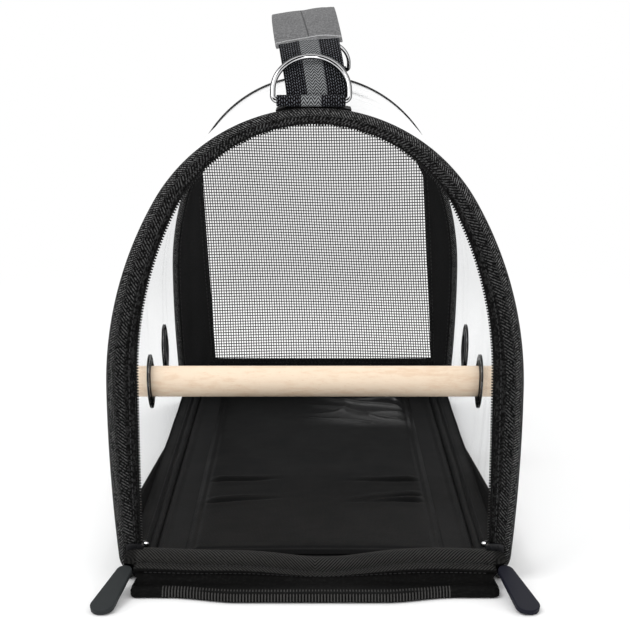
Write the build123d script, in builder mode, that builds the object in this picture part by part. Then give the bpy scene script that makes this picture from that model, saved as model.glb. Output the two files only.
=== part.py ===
"""Soft-sided travel carrier for a small bird.

A tunnel of clear film stands on a flat base between two wire-framed arches. The
rear arch is closed by a mesh panel. The front arch has a zipped door, which is
open and folded down over the sill and under the base. A wooden perch crosses the
cabin in rubber grommets, a quilted mat lies on the floor, and a webbing handle
with a wrapped grip runs along the top between two D-rings.

Units are millimetres. +X is to the right of someone who faces the door, +Y runs
from the door to the rear panel and +Z is up. The origin is at the ground, in the
middle of the object's bounding box. Lengths named "depth" are measured back from
the front face of the carrier.
"""
import os
from math import asin, atan2, cos, degrees, hypot, radians, sin, sqrt

from build123d import *

os.makedirs("parts", exist_ok=True)

# --- Driving dimensions -----------------------------------------------------------
# Overall shell
shell_length = 406.0
shell_half_width = 114.4
widest_level = 110.5
crown_tightening = 14.4
shoulder_spread = 91.8
side_radius = 1000.0
film_thickness = 1.0
film_inset = 1.2

# Front opening
side_band_width = 15.7
mouth_level = 117.0
mouth_crown_tightening = 12.7
mouth_shoulder_spread = 106.3
mouth_side_radius = 20000.0

# Frame edges
piping_radius = 2.3
wire_radius = 1.1
hoop_corner_radius = 9.0
band_thickness = 1.6

# Base
base_clearance = 3.9
cover_thickness = 0.8
board_thickness = 1.6
board_side_margin = 23.4
board_end_margin = 4.0
liner_thickness = 0.6
liner_overhang = 1.0
rail_inset = 7.9
rail_flat = 0.3
floor_band_height = 5.0
floor_band_round = 2.2

# Mat
mat_side_margin = 16.0
mat_thickness = 3.9
mat_crown = 1.0
mat_front_depth = 24.0
mat_end_margin = 10.0
mat_crease_depths = (115.0, 159.0)
mat_crease_radius = 5.0
mat_crease_cut = 2.0
mat_edge_round = 1.2

# Rear panel
window_side_margin = 26.9
window_arch_margin = 12.0
window_sill = 35.0
window_corner_radius = 5.0
mesh_thickness = 0.6
mesh_lap = 4.0

# Zippers
coil_width = 2.25
coil_thickness = 2.0
stop_height = 3.0
slider_height = 11.0
slider_inset = 3.5
slider_reach = 6.5
slider_plate = 2.0
slider_back_plate = 1.2
slider_post = 1.0
slider_post_height = 4.5
slider_gap = 0.5

# Zipper pulls
pull_pivot_offset = 3.3
pull_pivot_level = 14.5
pull_pivot_reach = 3.4
pull_yaw = 16.0
pull_length = 49.0
pull_thickness = 2.6
pull_root_radius = 4.35
pull_root_distance = 11.4
pull_tip_radius = 6.6
pull_edge_round = 0.6
link_width = 3.2
link_shank_width = 2.56
link_thickness = 1.2
link_eye_radius = 1.6
pin_radius = 0.8
ear_thickness = 0.9

# Door and its hinges
sill_top = 14.0
sill_side_margin = 3.8
roll_radius = 5.0
roll_level = 16.0
roll_rear_angle = -61.3
roll_front_angle = 196.26
fold_reach = 17.0
fold_level = 1.8
door_edge_gap = 1.5
door_thickness = 2.4
door_mesh_thickness = 0.8
door_border_width = 16.0
door_ground_gap = 0.3

# Side profile of the strip in front of the sill, as depths and levels
strip_crease = (-9.0, 14.2)
strip_bulge = (-12.6, 12.6)
strip_bulge_end = (-12.4, 9.8)
strip_hollow = (-13.8, 7.0)
hem_top = (-18.5, 5.2)
hem_front = (-24.3, 4.2)
hem_depth = -24.6
hem_back_reach = 2.8
fold_over_angle = 135.0
fold_rear_angle = 57.0

# Perch and grommets
perch_radius = 10.5
perch_overhang = 10.6
perch_level = 66.0
perch_chamfer = 0.8
grommet_depth_shares = (0.5, 0.75)
grommet_flange_radius = 15.0
grommet_flange = 1.3
eyelet_radius = 18.5
eyelet_flange = 0.9
eyelet_wall = 0.8
grommet_wall = 1.6
flange_lift = 0.25
wall_drill_length = 20.0

# Handle
handle_rise = 52.1
strap_width = 33.0
strap_thickness = 2.4
strap_depth = 7.5
strap_rise_angle = 75.0
strap_bend_angle = 25.0
strap_bend_share = 0.695
sleeve_wall = 1.6
sleeve_start_angle = 34.0
patch_half_width = 21.0
patch_length = 27.0
patch_thickness = 1.5

# D-rings
ring_wire_radius = 1.5
ring_arc_radius = 20.25
ring_leg = 6.5
ring_lean = 32.0
ring_corner_radius = 3.0
ring_lift = 3.6
tab_thickness = 1.3
tab_tail = 16.0
front_tab_x = -0.5
rear_tab_x = 4.5
ring_side_play = 1.6

# Clearances
seam_gap = 0.05
soft_gap = 0.3
running_gap = 0.1

# --- Worked-out places ------------------------------------------------------------
pull_drop = degrees(asin((pull_pivot_level - pull_thickness / 2 - door_ground_gap) / pull_length))
pull_slope = cos(radians(pull_drop)) * cos(radians(pull_yaw))
pull_reach = (pull_length - pull_tip_radius) * pull_slope + pull_tip_radius
pull_front_depth = -pull_pivot_reach - pull_reach
front_y = -(shell_length + pull_front_depth) / 2
edge_y = front_y + piping_radius
rear_edge_y = front_y + shell_length - piping_radius
film_start_y = front_y + 2 * piping_radius + running_gap
film_end_y = front_y + shell_length - 2 * piping_radius - running_gap
hoop_inset = piping_radius
band_inset = 2 * piping_radius + seam_gap
band_low = base_clearance + 2 * piping_radius + seam_gap
cover_top = base_clearance + cover_thickness
board_top = cover_top + board_thickness
liner_top = board_top + liner_thickness
middle_y = front_y + shell_length / 2
mouth_half_width = shell_half_width - side_band_width
board_half_width = shell_half_width - board_side_margin
mat_half_width = board_half_width - mat_side_margin
mat_rear_depth = shell_length - mat_end_margin
rail_centre = shell_half_width - rail_inset
window_half_width = shell_half_width - window_side_margin
sill_half_width = mouth_half_width - sill_side_margin
slider_inner = mouth_half_width - slider_inset
slider_outer = mouth_half_width + slider_reach
pull_pivot_x = mouth_half_width + pull_pivot_offset
perch_length = 2 * (shell_half_width + perch_overhang)


class Arch:
    """Outline of an arch: straight-footed sides, two shoulders and a crown, all tangent."""

    def __init__(self, half_width, level, shoulder_spread, crown_tightening, side):
        self.half_width = half_width
        self.level = level
        self.shoulder = half_width + shoulder_spread
        self.crown = half_width - crown_tightening
        self.side = side
        rise = sqrt((shoulder_spread + crown_tightening) ** 2 - shoulder_spread**2)
        self.crown_level = level + rise
        self.turn = degrees(atan2(rise, shoulder_spread))
        self.top = self.crown_level + self.crown

    def edge(self, level, inset=0.0):
        """Half width at a level below the widest one."""
        return self.half_width - self.side + sqrt((self.side - inset) ** 2 - (self.level - level) ** 2)

    def face(self, inset, low, mode=Mode.ADD):
        """Adds the filled outline, drawn in by inset and cut off at the level low."""
        foot = degrees(asin((self.level - low) / (self.side - inset)))
        shoulder_x = self.half_width - self.shoulder
        side_x = self.half_width - self.side
        with BuildLine() as outline:
            right = CenterArc((side_x, self.level), self.side - inset, -foot, foot)
            CenterArc((shoulder_x, self.level), self.shoulder - inset, 0, self.turn)
            CenterArc((0, self.crown_level), self.crown - inset, self.turn, 180 - 2 * self.turn)
            CenterArc((-shoulder_x, self.level), self.shoulder - inset, 180 - self.turn, self.turn)
            left = CenterArc((-side_x, self.level), self.side - inset, 180, foot)
            Line(left @ 1, right @ 0)
        make_face(outline.edges(), mode=mode)


shell_arch = Arch(shell_half_width, widest_level, shoulder_spread, crown_tightening, side_radius)
mouth_arch = Arch(
    mouth_half_width, mouth_level, mouth_shoulder_spread, mouth_crown_tightening, mouth_side_radius
)
handle_top = shell_arch.top + handle_rise
ring_level = shell_arch.top + ring_lift


def upright(y):
    """Plane across the carrier at y, seen from the front. Extruding by -d goes back by d."""
    return Plane(origin=(0, y, 0), x_dir=(1, 0, 0), z_dir=(0, -1, 0))


def finish(part, label):
    """Labels a finished piece and writes it."""
    part.label = label
    export_step(part, f"parts/{label}.step")


# --- Shell ------------------------------------------------------------------------
def wall_plane(side, y):
    """Plane on the mid surface of the film at the perch's level, facing outwards."""
    depth_in = film_inset + film_thickness / 2
    tilt = asin((widest_level - perch_level) / (side_radius - depth_in))
    x = shell_half_width - side_radius + (side_radius - depth_in) * cos(tilt)
    return Plane(
        origin=(side * x, y, perch_level), x_dir=(0, 1, 0), z_dir=(side * cos(tilt), 0, -sin(tilt))
    )


grommet_places = [
    wall_plane(side, front_y + share * shell_length) for share in grommet_depth_shares for side in (-1, 1)
]
grommet_bore_radius = perch_radius + soft_gap
grommet_neck_radius = grommet_bore_radius + grommet_wall
eyelet_bore_radius = grommet_neck_radius + seam_gap
eyelet_neck_radius = eyelet_bore_radius + eyelet_wall
film_hole_radius = eyelet_neck_radius + seam_gap
film_half = film_thickness / 2 + flange_lift
eyelet_face = film_half + eyelet_flange
grommet_seat = eyelet_face + seam_gap
grommet_face = grommet_seat + grommet_flange

with BuildPart() as clear_tunnel:
    with BuildSketch(upright(film_start_y)):
        shell_arch.face(film_inset, cover_top)
        shell_arch.face(film_inset + film_thickness, cover_top, Mode.SUBTRACT)
    extrude(amount=film_start_y - film_end_y)
    for place in grommet_places:
        with BuildSketch(place):
            Circle(film_hole_radius)
        extrude(amount=wall_drill_length / 2, both=True, mode=Mode.SUBTRACT)
finish(clear_tunnel.part, "clear_tunnel")


def spool(place, bore, neck, flange, inner, outer):
    """Ring with a neck and two flanges, symmetrical about the film."""
    with BuildSketch(place) as tube:
        Circle(neck)
        Circle(bore, mode=Mode.SUBTRACT)
    extrude(tube.sketch, amount=outer, both=True)
    for direction in (-1, 1):
        with BuildSketch(place.offset(direction * inner)) as rim:
            Circle(flange)
            Circle(bore, mode=Mode.SUBTRACT)
        extrude(rim.sketch, amount=direction * (outer - inner))


with BuildPart() as eyelet_rings:
    for place in grommet_places:
        spool(place, eyelet_bore_radius, eyelet_neck_radius, eyelet_radius, film_half, eyelet_face)
finish(eyelet_rings.part, "eyelet_rings")

with BuildPart() as wall_grommets:
    for place in grommet_places:
        spool(
            place, grommet_bore_radius, grommet_neck_radius, grommet_flange_radius, grommet_seat, grommet_face
        )
finish(wall_grommets.part, "wall_grommets")


def hoop_path(y):
    """Closed centre line of a frame hoop: the arch, two round corners and the foot bar."""
    with BuildSketch(upright(y)) as outline:
        shell_arch.face(hoop_inset, base_clearance + piping_radius)
        fillet(outline.vertices().group_by(Axis.Y)[0], hoop_corner_radius)
    return outline.sketch.face().outer_wire()


def hoop(y, label, outer, inner=0.0):
    """Round rod or tube that follows the frame hoop at y."""
    path = hoop_path(y)
    with BuildPart() as rod:
        with BuildSketch(Plane(origin=path @ 0, z_dir=path % 0)):
            Circle(outer)
            if inner:
                Circle(inner, mode=Mode.SUBTRACT)
        sweep(path=path)
    finish(rod.part, label)


wire_bore = wire_radius + seam_gap
hoop(edge_y, "front_piping", piping_radius, wire_bore)
hoop(edge_y, "front_frame_wire", wire_radius)
hoop(rear_edge_y, "rear_piping", piping_radius, wire_bore)
hoop(rear_edge_y, "rear_frame_wire", wire_radius)


def panel_face():
    """Everything inside a hoop's piping."""
    with BuildSketch(mode=Mode.PRIVATE) as panel:
        shell_arch.face(band_inset, band_low)
        fillet(panel.vertices().group_by(Axis.Y)[0], hoop_corner_radius - band_inset + hoop_inset)
    add(panel.sketch)


with BuildPart() as front_band:
    with BuildSketch(upright(edge_y)):
        panel_face()
        mouth_arch.face(0, band_low, Mode.SUBTRACT)
    extrude(amount=band_thickness / 2, both=True)
finish(front_band.part, "front_band")

with BuildPart() as front_sill:
    with BuildSketch(upright(edge_y)):
        with Locations((0, band_low)):
            Rectangle(2 * sill_half_width, sill_top - band_low, align=(Align.CENTER, Align.MIN))
    extrude(amount=band_thickness / 2, both=True)
finish(front_sill.part, "front_sill")

stop_top = band_low + stop_height
coil_low = stop_top + seam_gap

with BuildPart() as frame_zipper_coil:
    with BuildSketch(upright(edge_y)):
        mouth_arch.face(seam_gap, coil_low)
        mouth_arch.face(coil_width, coil_low, Mode.SUBTRACT)
    extrude(amount=coil_thickness / 2, both=True)
finish(frame_zipper_coil.part, "frame_zipper_coil")

with BuildPart() as zipper_stops:
    with BuildSketch(upright(edge_y)):
        mouth_arch.face(seam_gap, band_low)
        mouth_arch.face(coil_width, band_low, Mode.SUBTRACT)
        with Locations((0, stop_top)):
            Rectangle(3 * shell_half_width, shell_length, align=(Align.CENTER, Align.MIN), mode=Mode.SUBTRACT)
    extrude(amount=coil_thickness / 2 + soft_gap, both=True)
finish(zipper_stops.part, "zipper_stops")


def window_face(margin, mode=Mode.ADD):
    """Rear window, enlarged by margin on every side: a straight-sided arch."""
    with BuildSketch(mode=Mode.PRIVATE) as window:
        shell_arch.face(window_arch_margin - margin, window_sill - margin)
        half = window_half_width + margin
        Rectangle(2 * half, 4 * shell_length, mode=Mode.INTERSECT)
        fillet(window.vertices().group_by(Axis.Y)[0], window_corner_radius)
    add(window.sketch, mode=mode)


with BuildPart() as rear_panel_border:
    with BuildSketch(upright(rear_edge_y)):
        panel_face()
        window_face(0, Mode.SUBTRACT)
    extrude(amount=band_thickness / 2, both=True)
finish(rear_panel_border.part, "rear_panel_border")

with BuildPart() as rear_mesh:
    with BuildSketch(upright(rear_edge_y - band_thickness / 2)):
        window_face(mesh_lap)
    extrude(amount=mesh_thickness)
finish(rear_mesh.part, "rear_mesh")


# --- Base -------------------------------------------------------------------------
def slab(label, half_width, start, end, low, thickness):
    """Flat rectangular sheet, centred on the carrier."""
    with BuildPart() as sheet:
        with BuildSketch(Plane.XY.offset(low)):
            with Locations((0, (start + end) / 2)):
                Rectangle(2 * half_width, end - start)
        extrude(amount=thickness)
    finish(sheet.part, label)


rail_level = piping_radius - rail_flat
rail_cut = sqrt(piping_radius**2 - (base_clearance - rail_level) ** 2)
cover_half_width = rail_centre - rail_cut - running_gap
slab("bottom_cover", cover_half_width, film_start_y, film_end_y, base_clearance, cover_thickness)
board_start = film_start_y + board_end_margin
board_end = film_end_y - board_end_margin
slab("floor_board", board_half_width, board_start, board_end, cover_top, board_thickness)
liner_half_width = board_half_width + liner_overhang
slab("floor_liner", liner_half_width, film_start_y, film_end_y, board_top, liner_thickness)

for side, name in ((-1, "left"), (1, "right")):
    with BuildPart() as base_piping:
        with BuildSketch(upright(film_start_y)):
            with Locations((side * rail_centre, rail_level)):
                Circle(piping_radius)
            with Locations((side * rail_centre, 0)):
                Rectangle(
                    4 * piping_radius, piping_radius, align=(Align.CENTER, Align.MAX), mode=Mode.SUBTRACT
                )
        extrude(amount=film_start_y - film_end_y)
    finish(base_piping.part, f"{name}_base_piping")

    band_outer = shell_arch.edge(cover_top, film_inset + film_thickness) - soft_gap
    band_inner = liner_half_width + soft_gap
    with BuildPart() as floor_band:
        with BuildSketch(upright(film_start_y)) as section:
            with Locations((side * (band_inner + band_outer) / 2, cover_top)):
                Rectangle(band_outer - band_inner, floor_band_height, align=(Align.CENTER, Align.MIN))
            fillet(section.vertices().group_by(Axis.Y)[-1], floor_band_round)
        extrude(amount=film_start_y - film_end_y)
    finish(floor_band.part, f"{name}_floor_band")

# --- Mat --------------------------------------------------------------------------
mat_low = liner_top + soft_gap
mat_side_height = mat_thickness - mat_crown
with BuildPart() as mat:
    with BuildSketch(upright(front_y + mat_front_depth)):
        with BuildLine():
            crown = ThreePointArc(
                (-mat_half_width, mat_low + mat_side_height),
                (0, mat_low + mat_thickness),
                (mat_half_width, mat_low + mat_side_height),
            )
            Polyline(crown @ 0, (-mat_half_width, mat_low), (mat_half_width, mat_low), crown @ 1)
        make_face()
    extrude(amount=mat_front_depth - mat_rear_depth)
    fillet(mat.edges().group_by(Axis.Z)[-1], mat_edge_round)
    long_edges = mat.edges().filter_by(Axis.Y)
    fillet([edge for edge in long_edges if edge.center().Z > mat_low + seam_gap], mat_edge_round)
    for crease in mat_crease_depths:
        level = mat_low + mat_side_height + mat_crease_radius - mat_crease_cut
        with BuildSketch(Plane.YZ):
            with Locations((front_y + crease, level)):
                Circle(mat_crease_radius)
        extrude(amount=mat_half_width + mat_crease_radius, both=True, mode=Mode.SUBTRACT)
finish(mat.part, "mat")

# --- Perch ------------------------------------------------------------------------
with BuildPart() as perch:
    with BuildSketch(Plane.YZ):
        with Locations((front_y + grommet_depth_shares[0] * shell_length, perch_level)):
            Circle(perch_radius)
    extrude(amount=perch_length / 2, both=True)
    chamfer(perch.edges().filter_by(GeomType.CIRCLE), perch_chamfer)
finish(perch.part, "perch")

# --- Handle -----------------------------------------------------------------------
tab_loop_radius = ring_wire_radius + soft_gap + tab_thickness
tab_low = ring_level - tab_loop_radius
strap_start = (strap_depth, tab_low + tab_thickness + strap_thickness / 4)
sleeve_thickness = strap_thickness + 2 * (sleeve_wall + soft_gap)
strap_top = handle_top - sleeve_thickness / 2
strap_bend_rise = strap_bend_share * (strap_top - strap_start[1])
strap_bend_radius = strap_bend_rise / (cos(radians(strap_bend_angle)) - cos(radians(strap_rise_angle)))


def handle_path(start_angle):
    """Centre line of the handle in the middle plane, from a slope near its front end."""
    rise = radians(strap_rise_angle)
    begin = radians(start_angle)
    bend = radians(strap_bend_angle)

    def on_bend(angle):
        depth = strap_start[0] + strap_bend_radius * (sin(rise) - sin(angle))
        level = strap_start[1] + strap_bend_radius * (cos(angle) - cos(rise))
        return depth, level

    bend_end = on_bend(bend)
    top_radius = (strap_top - bend_end[1]) / (1 - cos(bend))
    top_start = bend_end[0] + top_radius * sin(bend)
    half = bend / 2
    over = (top_start - top_radius * sin(half), strap_top - top_radius * (1 - cos(half)))
    front = [on_bend(begin), on_bend((begin + bend) / 2), bend_end, over, (top_start, strap_top)]
    rear = [(shell_length - depth, level) for depth, level in reversed(front)]
    with BuildLine(Plane(origin=(0, front_y, 0), x_dir=(0, 1, 0), z_dir=(1, 0, 0))) as path:
        ThreePointArc(*front[0:3])
        ThreePointArc(*front[2:5])
        Line(front[4], rear[0])
        ThreePointArc(*rear[0:3])
        ThreePointArc(*rear[2:5])
    return path.wire()


def across(path):
    """Plane square to the start of a handle path, with its first axis along X."""
    return Plane(origin=path @ 0, x_dir=(1, 0, 0), z_dir=path % 0)


strap_path = handle_path(strap_rise_angle)
with BuildPart() as handle_strap:
    with BuildSketch(across(strap_path)):
        Rectangle(strap_width, strap_thickness)
    sweep(path=strap_path)
finish(handle_strap.part, "handle_strap")

sleeve_path = handle_path(sleeve_start_angle)
sleeve_bore = strap_width + 2 * soft_gap
with BuildPart() as handle_sleeve:
    with BuildSketch(across(sleeve_path)):
        Rectangle(sleeve_bore + 2 * sleeve_wall, sleeve_thickness)
        Rectangle(sleeve_bore, strap_thickness + 2 * soft_gap, mode=Mode.SUBTRACT)
    sweep(path=sleeve_path)
finish(handle_sleeve.part, "handle_sleeve")

ring_inner_half = ring_arc_radius - ring_wire_radius
tab_half_width = strap_width / 2

for end, name, tab_x in ((1, "front", front_tab_x), (-1, "rear", rear_tab_x)):
    bar_y = middle_y - end * (shell_length / 2 - piping_radius)

    # Patch sewn on the film under the handle's end
    patch_start = middle_y - end * (shell_length / 2 - 2 * piping_radius - running_gap)
    with BuildPart() as handle_patch:
        with BuildSketch(upright(patch_start)):
            shell_arch.face(film_inset - seam_gap - patch_thickness, cover_top)
            shell_arch.face(film_inset - seam_gap, cover_top, Mode.SUBTRACT)
            with Locations((tab_x, 0)):
                Rectangle(2 * patch_half_width, 2 * handle_top, mode=Mode.INTERSECT)
        extrude(amount=-end * patch_length)
    finish(handle_patch.part, f"{name}_handle_patch")

    # Webbing loop that holds the D-ring's straight bar
    with BuildPart() as ring_tab:
        with BuildSketch(Plane.YZ.offset(tab_x)):
            with Locations((bar_y, ring_level)):
                Circle(tab_loop_radius)
            with Locations((bar_y + end * tab_tail / 2, tab_low + tab_thickness / 2)):
                Rectangle(tab_tail, tab_thickness)
            with Locations((bar_y, ring_level)):
                Circle(ring_wire_radius + soft_gap, mode=Mode.SUBTRACT)
        extrude(amount=tab_half_width, both=True)
    finish(ring_tab.part, f"{name}_ring_tab")

    # D-ring, leaning on the handle
    ring_x = tab_x - end * ring_side_play
    lean = radians(ring_lean)
    ring_plane = Plane(
        origin=(ring_x, bar_y, ring_level), x_dir=(1, 0, 0), z_dir=(0, -cos(lean), end * sin(lean))
    )
    with BuildSketch(ring_plane) as ring_outline:
        with BuildLine():
            top = CenterArc((0, ring_leg), ring_arc_radius, 0, 180)
            Polyline(top @ 1, (-ring_arc_radius, 0), (ring_arc_radius, 0), top @ 0)
        make_face()
        fillet(ring_outline.vertices().group_by(Axis.Y)[0], ring_corner_radius)
    ring_path = ring_outline.sketch.face().outer_wire()
    with BuildPart() as d_ring:
        with BuildSketch(Plane(origin=ring_path @ 0, z_dir=ring_path % 0)):
            Circle(ring_wire_radius)
        sweep(path=ring_path)
    finish(d_ring.part, f"{name}_d_ring")

# --- Door -------------------------------------------------------------------------
roll_depth = piping_radius - band_thickness / 2 - soft_gap - roll_radius
fold_radius = hypot(roll_depth + fold_reach, roll_level - fold_level)
fold_start_angle = atan2(roll_depth + fold_reach, roll_level - fold_level)
closed_lean = asin((piping_radius - roll_depth) / fold_radius)
closed_level = roll_level + fold_radius * cos(closed_lean)
fold_y = front_y - fold_reach


def profile(points):
    """Points of the front strip's side profile, from depths and levels to the frame."""
    return [(front_y + depth, level) for depth, level in points]


def round_point(centre, radius, angle):
    """Depth and level of a point on a circle, at an angle from straight back."""
    return centre[0] + radius * cos(radians(angle)), centre[1] + radius * sin(radians(angle))


# The strip hangs from the sill: a roll at the hinge, a crease, a second bulge, a hollow
# and a thick hem on the ground, in front of the fold where the door turns under the base.
fold_room = door_thickness / 2 + 2 * soft_gap
roll = (roll_depth, roll_level)
fold = (-fold_reach, fold_level)
roll_rear = round_point(roll, roll_radius, roll_rear_angle)
roll_crown = (roll_depth, roll_level + roll_radius)
roll_front = round_point(roll, roll_radius, roll_front_angle)
hem_low = (hem_depth, door_ground_gap)
hem_back = (-fold_reach - hem_back_reach, door_ground_gap)
fold_front = (-fold_reach - fold_room, fold_level)
fold_over = round_point(fold, fold_room, fold_over_angle)
fold_rear = round_point(fold, fold_room, fold_rear_angle)

with BuildPart() as door_flap:
    with BuildSketch(Plane.YZ):
        with BuildLine():
            ThreePointArc(*profile((roll_rear, roll_crown, roll_front)))
            Line(*profile((roll_front, strip_crease)))
            ThreePointArc(*profile((strip_crease, strip_bulge, strip_bulge_end)))
            ThreePointArc(*profile((strip_bulge_end, strip_hollow, hem_top)))
            ThreePointArc(*profile((hem_top, hem_front, hem_low)))
            Polyline(*profile((hem_low, hem_back, fold_front)))
            ThreePointArc(*profile((fold_front, fold_over, fold_rear)))
            Line(*profile((fold_rear, roll_rear)))
        make_face()
    extrude(amount=sill_half_width, both=True)
finish(door_flap.part, "door_flap")

# The door lies under the base, so its arch is drawn on the ground with the arch's
# levels laid along Y from the fold.
door_foot = closed_level + soft_gap


def door_plane(level):
    """Ground-parallel plane on which the closed door's levels run along Y."""
    return Plane(origin=(0, fold_y - closed_level, level), x_dir=(1, 0, 0), z_dir=(0, 0, 1))


door_inset = coil_width + door_edge_gap
border_inset = door_inset + coil_width + seam_gap
opening_inset = border_inset + door_border_width
opening_foot = door_foot + door_border_width

with BuildPart() as door_zipper_coil:
    with BuildSketch(door_plane(fold_level)):
        mouth_arch.face(door_inset, door_foot)
        mouth_arch.face(door_inset + coil_width, door_foot, Mode.SUBTRACT)
    extrude(amount=coil_thickness / 2, both=True)
finish(door_zipper_coil.part, "door_zipper_coil")

with BuildPart() as door_border:
    with BuildSketch(door_plane(fold_level)):
        mouth_arch.face(border_inset, door_foot)
        mouth_arch.face(opening_inset, opening_foot, Mode.SUBTRACT)
    extrude(amount=door_thickness / 2, both=True)
finish(door_border.part, "door_border")

with BuildPart() as door_mesh:
    with BuildSketch(door_plane(fold_level)):
        mouth_arch.face(opening_inset + seam_gap, opening_foot + seam_gap)
    extrude(amount=door_mesh_thickness / 2, both=True)
finish(door_mesh.part, "door_mesh")

# --- Zipper sliders and pulls -----------------------------------------------------
slider_low = stop_top + running_gap
slider_front_y = edge_y - coil_thickness / 2 - slider_gap
slider_rear_y = edge_y + coil_thickness / 2 + slider_gap
pivot_y = front_y - pull_pivot_reach
ear_reach = slider_front_y - slider_plate - pivot_y
ear_inner = link_width / 2 + running_gap


def slider_sketch(side, outer, height, low):
    """Rectangle from the slider's inner edge outwards, on a leg of the frame."""
    with Locations((side * (slider_inner + outer) / 2, low)):
        Rectangle(outer - slider_inner, height, align=(Align.CENTER, Align.MIN))


for side, name in ((-1, "left"), (1, "right")):
    with BuildPart() as slider:
        with BuildSketch(upright(slider_front_y)) as front_plate:
            slider_sketch(side, slider_outer, slider_height, slider_low)
            fillet(front_plate.vertices(), slider_plate)
        extrude(amount=slider_plate)
        with BuildSketch(upright(slider_rear_y)):
            slider_sketch(side, mouth_half_width + coil_width, slider_height, slider_low)
        extrude(amount=-slider_back_plate)
        with BuildSketch(upright(slider_front_y)):
            slider_sketch(
                side,
                slider_inner + slider_post,
                slider_post_height,
                slider_low + slider_height - slider_post_height - slider_plate,
            )
        extrude(amount=slider_front_y - slider_rear_y)
        for direction in (-1, 1):
            ear_x = side * pull_pivot_x + direction * ear_inner
            with BuildSketch(Plane.YZ.offset(ear_x)) as ear:
                with Locations((pivot_y, pull_pivot_level)):
                    Circle(link_eye_radius)
                    Rectangle(ear_reach, 2 * link_eye_radius, align=(Align.MIN, Align.CENTER))
            extrude(amount=direction * ear_thickness)
        with BuildSketch(Plane.YZ.offset(side * pull_pivot_x)):
            with Locations((pivot_y, pull_pivot_level)):
                Circle(pin_radius)
        extrude(amount=ear_inner + ear_thickness, both=True)
    finish(slider.part, f"{name}_slider")

    # The pull lies outwards and forwards, with its tip on the ground
    yaw = radians(pull_yaw)
    drop = radians(pull_drop)
    along = Vector(side * sin(yaw) * cos(drop), -cos(yaw) * cos(drop), -sin(drop))
    sideways = Vector(cos(yaw), side * sin(yaw), 0)
    pull_plane = Plane(
        origin=(side * pull_pivot_x, pivot_y, pull_pivot_level), x_dir=along, z_dir=along.cross(sideways)
    )
    link_end = pull_root_distance - pull_root_radius - seam_gap
    with BuildPart() as pull_link:
        with BuildSketch(Plane.YZ.offset(side * pull_pivot_x)):
            with Locations((pivot_y, pull_pivot_level)):
                Circle(link_eye_radius)
        extrude(amount=link_width / 2, both=True)
        with BuildSketch(pull_plane):
            with Locations((link_end / 2, 0)):
                Rectangle(link_end, link_shank_width)
        extrude(amount=link_thickness / 2, both=True)
        with BuildSketch(Plane.YZ.offset(side * pull_pivot_x)):
            with Locations((pivot_y, pull_pivot_level)):
                Circle(pin_radius + running_gap)
        extrude(amount=link_width, both=True, mode=Mode.SUBTRACT)
    finish(pull_link.part, f"{name}_pull_link")

    with BuildPart() as pull_tab:
        with BuildSketch(pull_plane) as tab_outline:
            with Locations((pull_root_distance, 0)):
                Circle(pull_root_radius)
            with Locations((pull_length - pull_tip_radius, 0)):
                Circle(pull_tip_radius)
            make_hull()
        extrude(amount=pull_thickness / 2, both=True)
        upper_face = pull_tab.faces().sort_by(Axis(pull_plane.origin, pull_plane.z_dir))[-1]
        fillet(upper_face.edges(), pull_edge_round)
    finish(pull_tab.part, f"{name}_pull_tab")

print(f"front plane at y = {front_y:.3f}")
print(f"closed door foot at {closed_level:.3f}, lean {degrees(closed_lean):.3f}")
print(f"strip turns {180 + degrees(closed_lean - fold_start_angle):.3f}")
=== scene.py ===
"""Looks of a soft-sided bird travel carrier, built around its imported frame.

The file is laid out as an add-on. Sizes and colours are properties, each piece or group of
like pieces has an operator, and main() calls them in order. Lengths in the code are
millimetres, "depth" is measured back from the carrier's front face, "level" is height above
the table, and meshes are written in metres.
"""

import bpy
import numpy as np
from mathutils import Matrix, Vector


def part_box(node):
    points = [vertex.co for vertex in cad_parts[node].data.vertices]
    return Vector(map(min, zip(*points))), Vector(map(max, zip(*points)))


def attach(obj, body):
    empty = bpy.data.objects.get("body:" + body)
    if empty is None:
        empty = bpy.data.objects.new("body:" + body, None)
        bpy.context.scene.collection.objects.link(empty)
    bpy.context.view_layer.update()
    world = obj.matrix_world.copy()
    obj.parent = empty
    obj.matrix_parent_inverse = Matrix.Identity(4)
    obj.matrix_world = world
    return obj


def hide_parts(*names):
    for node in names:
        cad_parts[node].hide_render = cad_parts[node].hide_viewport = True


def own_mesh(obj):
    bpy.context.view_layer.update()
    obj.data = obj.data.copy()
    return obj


bl_info = {
    "name": "Bird Travel Carrier",
    "version": (1, 0, 0),
    "blender": (4, 5, 0),
    "location": "3D View > Sidebar > Carrier",
    "description": "Builds the fabric, film, net and trim of a bird travel carrier",
    "category": "Object",
}

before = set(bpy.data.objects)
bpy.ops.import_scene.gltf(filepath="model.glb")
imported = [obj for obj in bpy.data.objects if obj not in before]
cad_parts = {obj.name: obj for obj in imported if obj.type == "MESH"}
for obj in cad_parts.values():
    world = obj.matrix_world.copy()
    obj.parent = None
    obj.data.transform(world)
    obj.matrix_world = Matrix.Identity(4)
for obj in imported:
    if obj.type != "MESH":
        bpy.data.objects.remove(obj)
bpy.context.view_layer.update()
MM = 0.001
X_AXIS, Y_AXIS, Z_AXIS = np.eye(3)


def extent(node):
    """Lowest and highest corner of a frame node, in millimetres."""
    low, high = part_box(node)
    return np.array(low) / MM, np.array(high) / MM


def centre_of(node):
    """Centre of a frame node's box, in millimetres."""
    return sum(extent(node)) / 2


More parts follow.
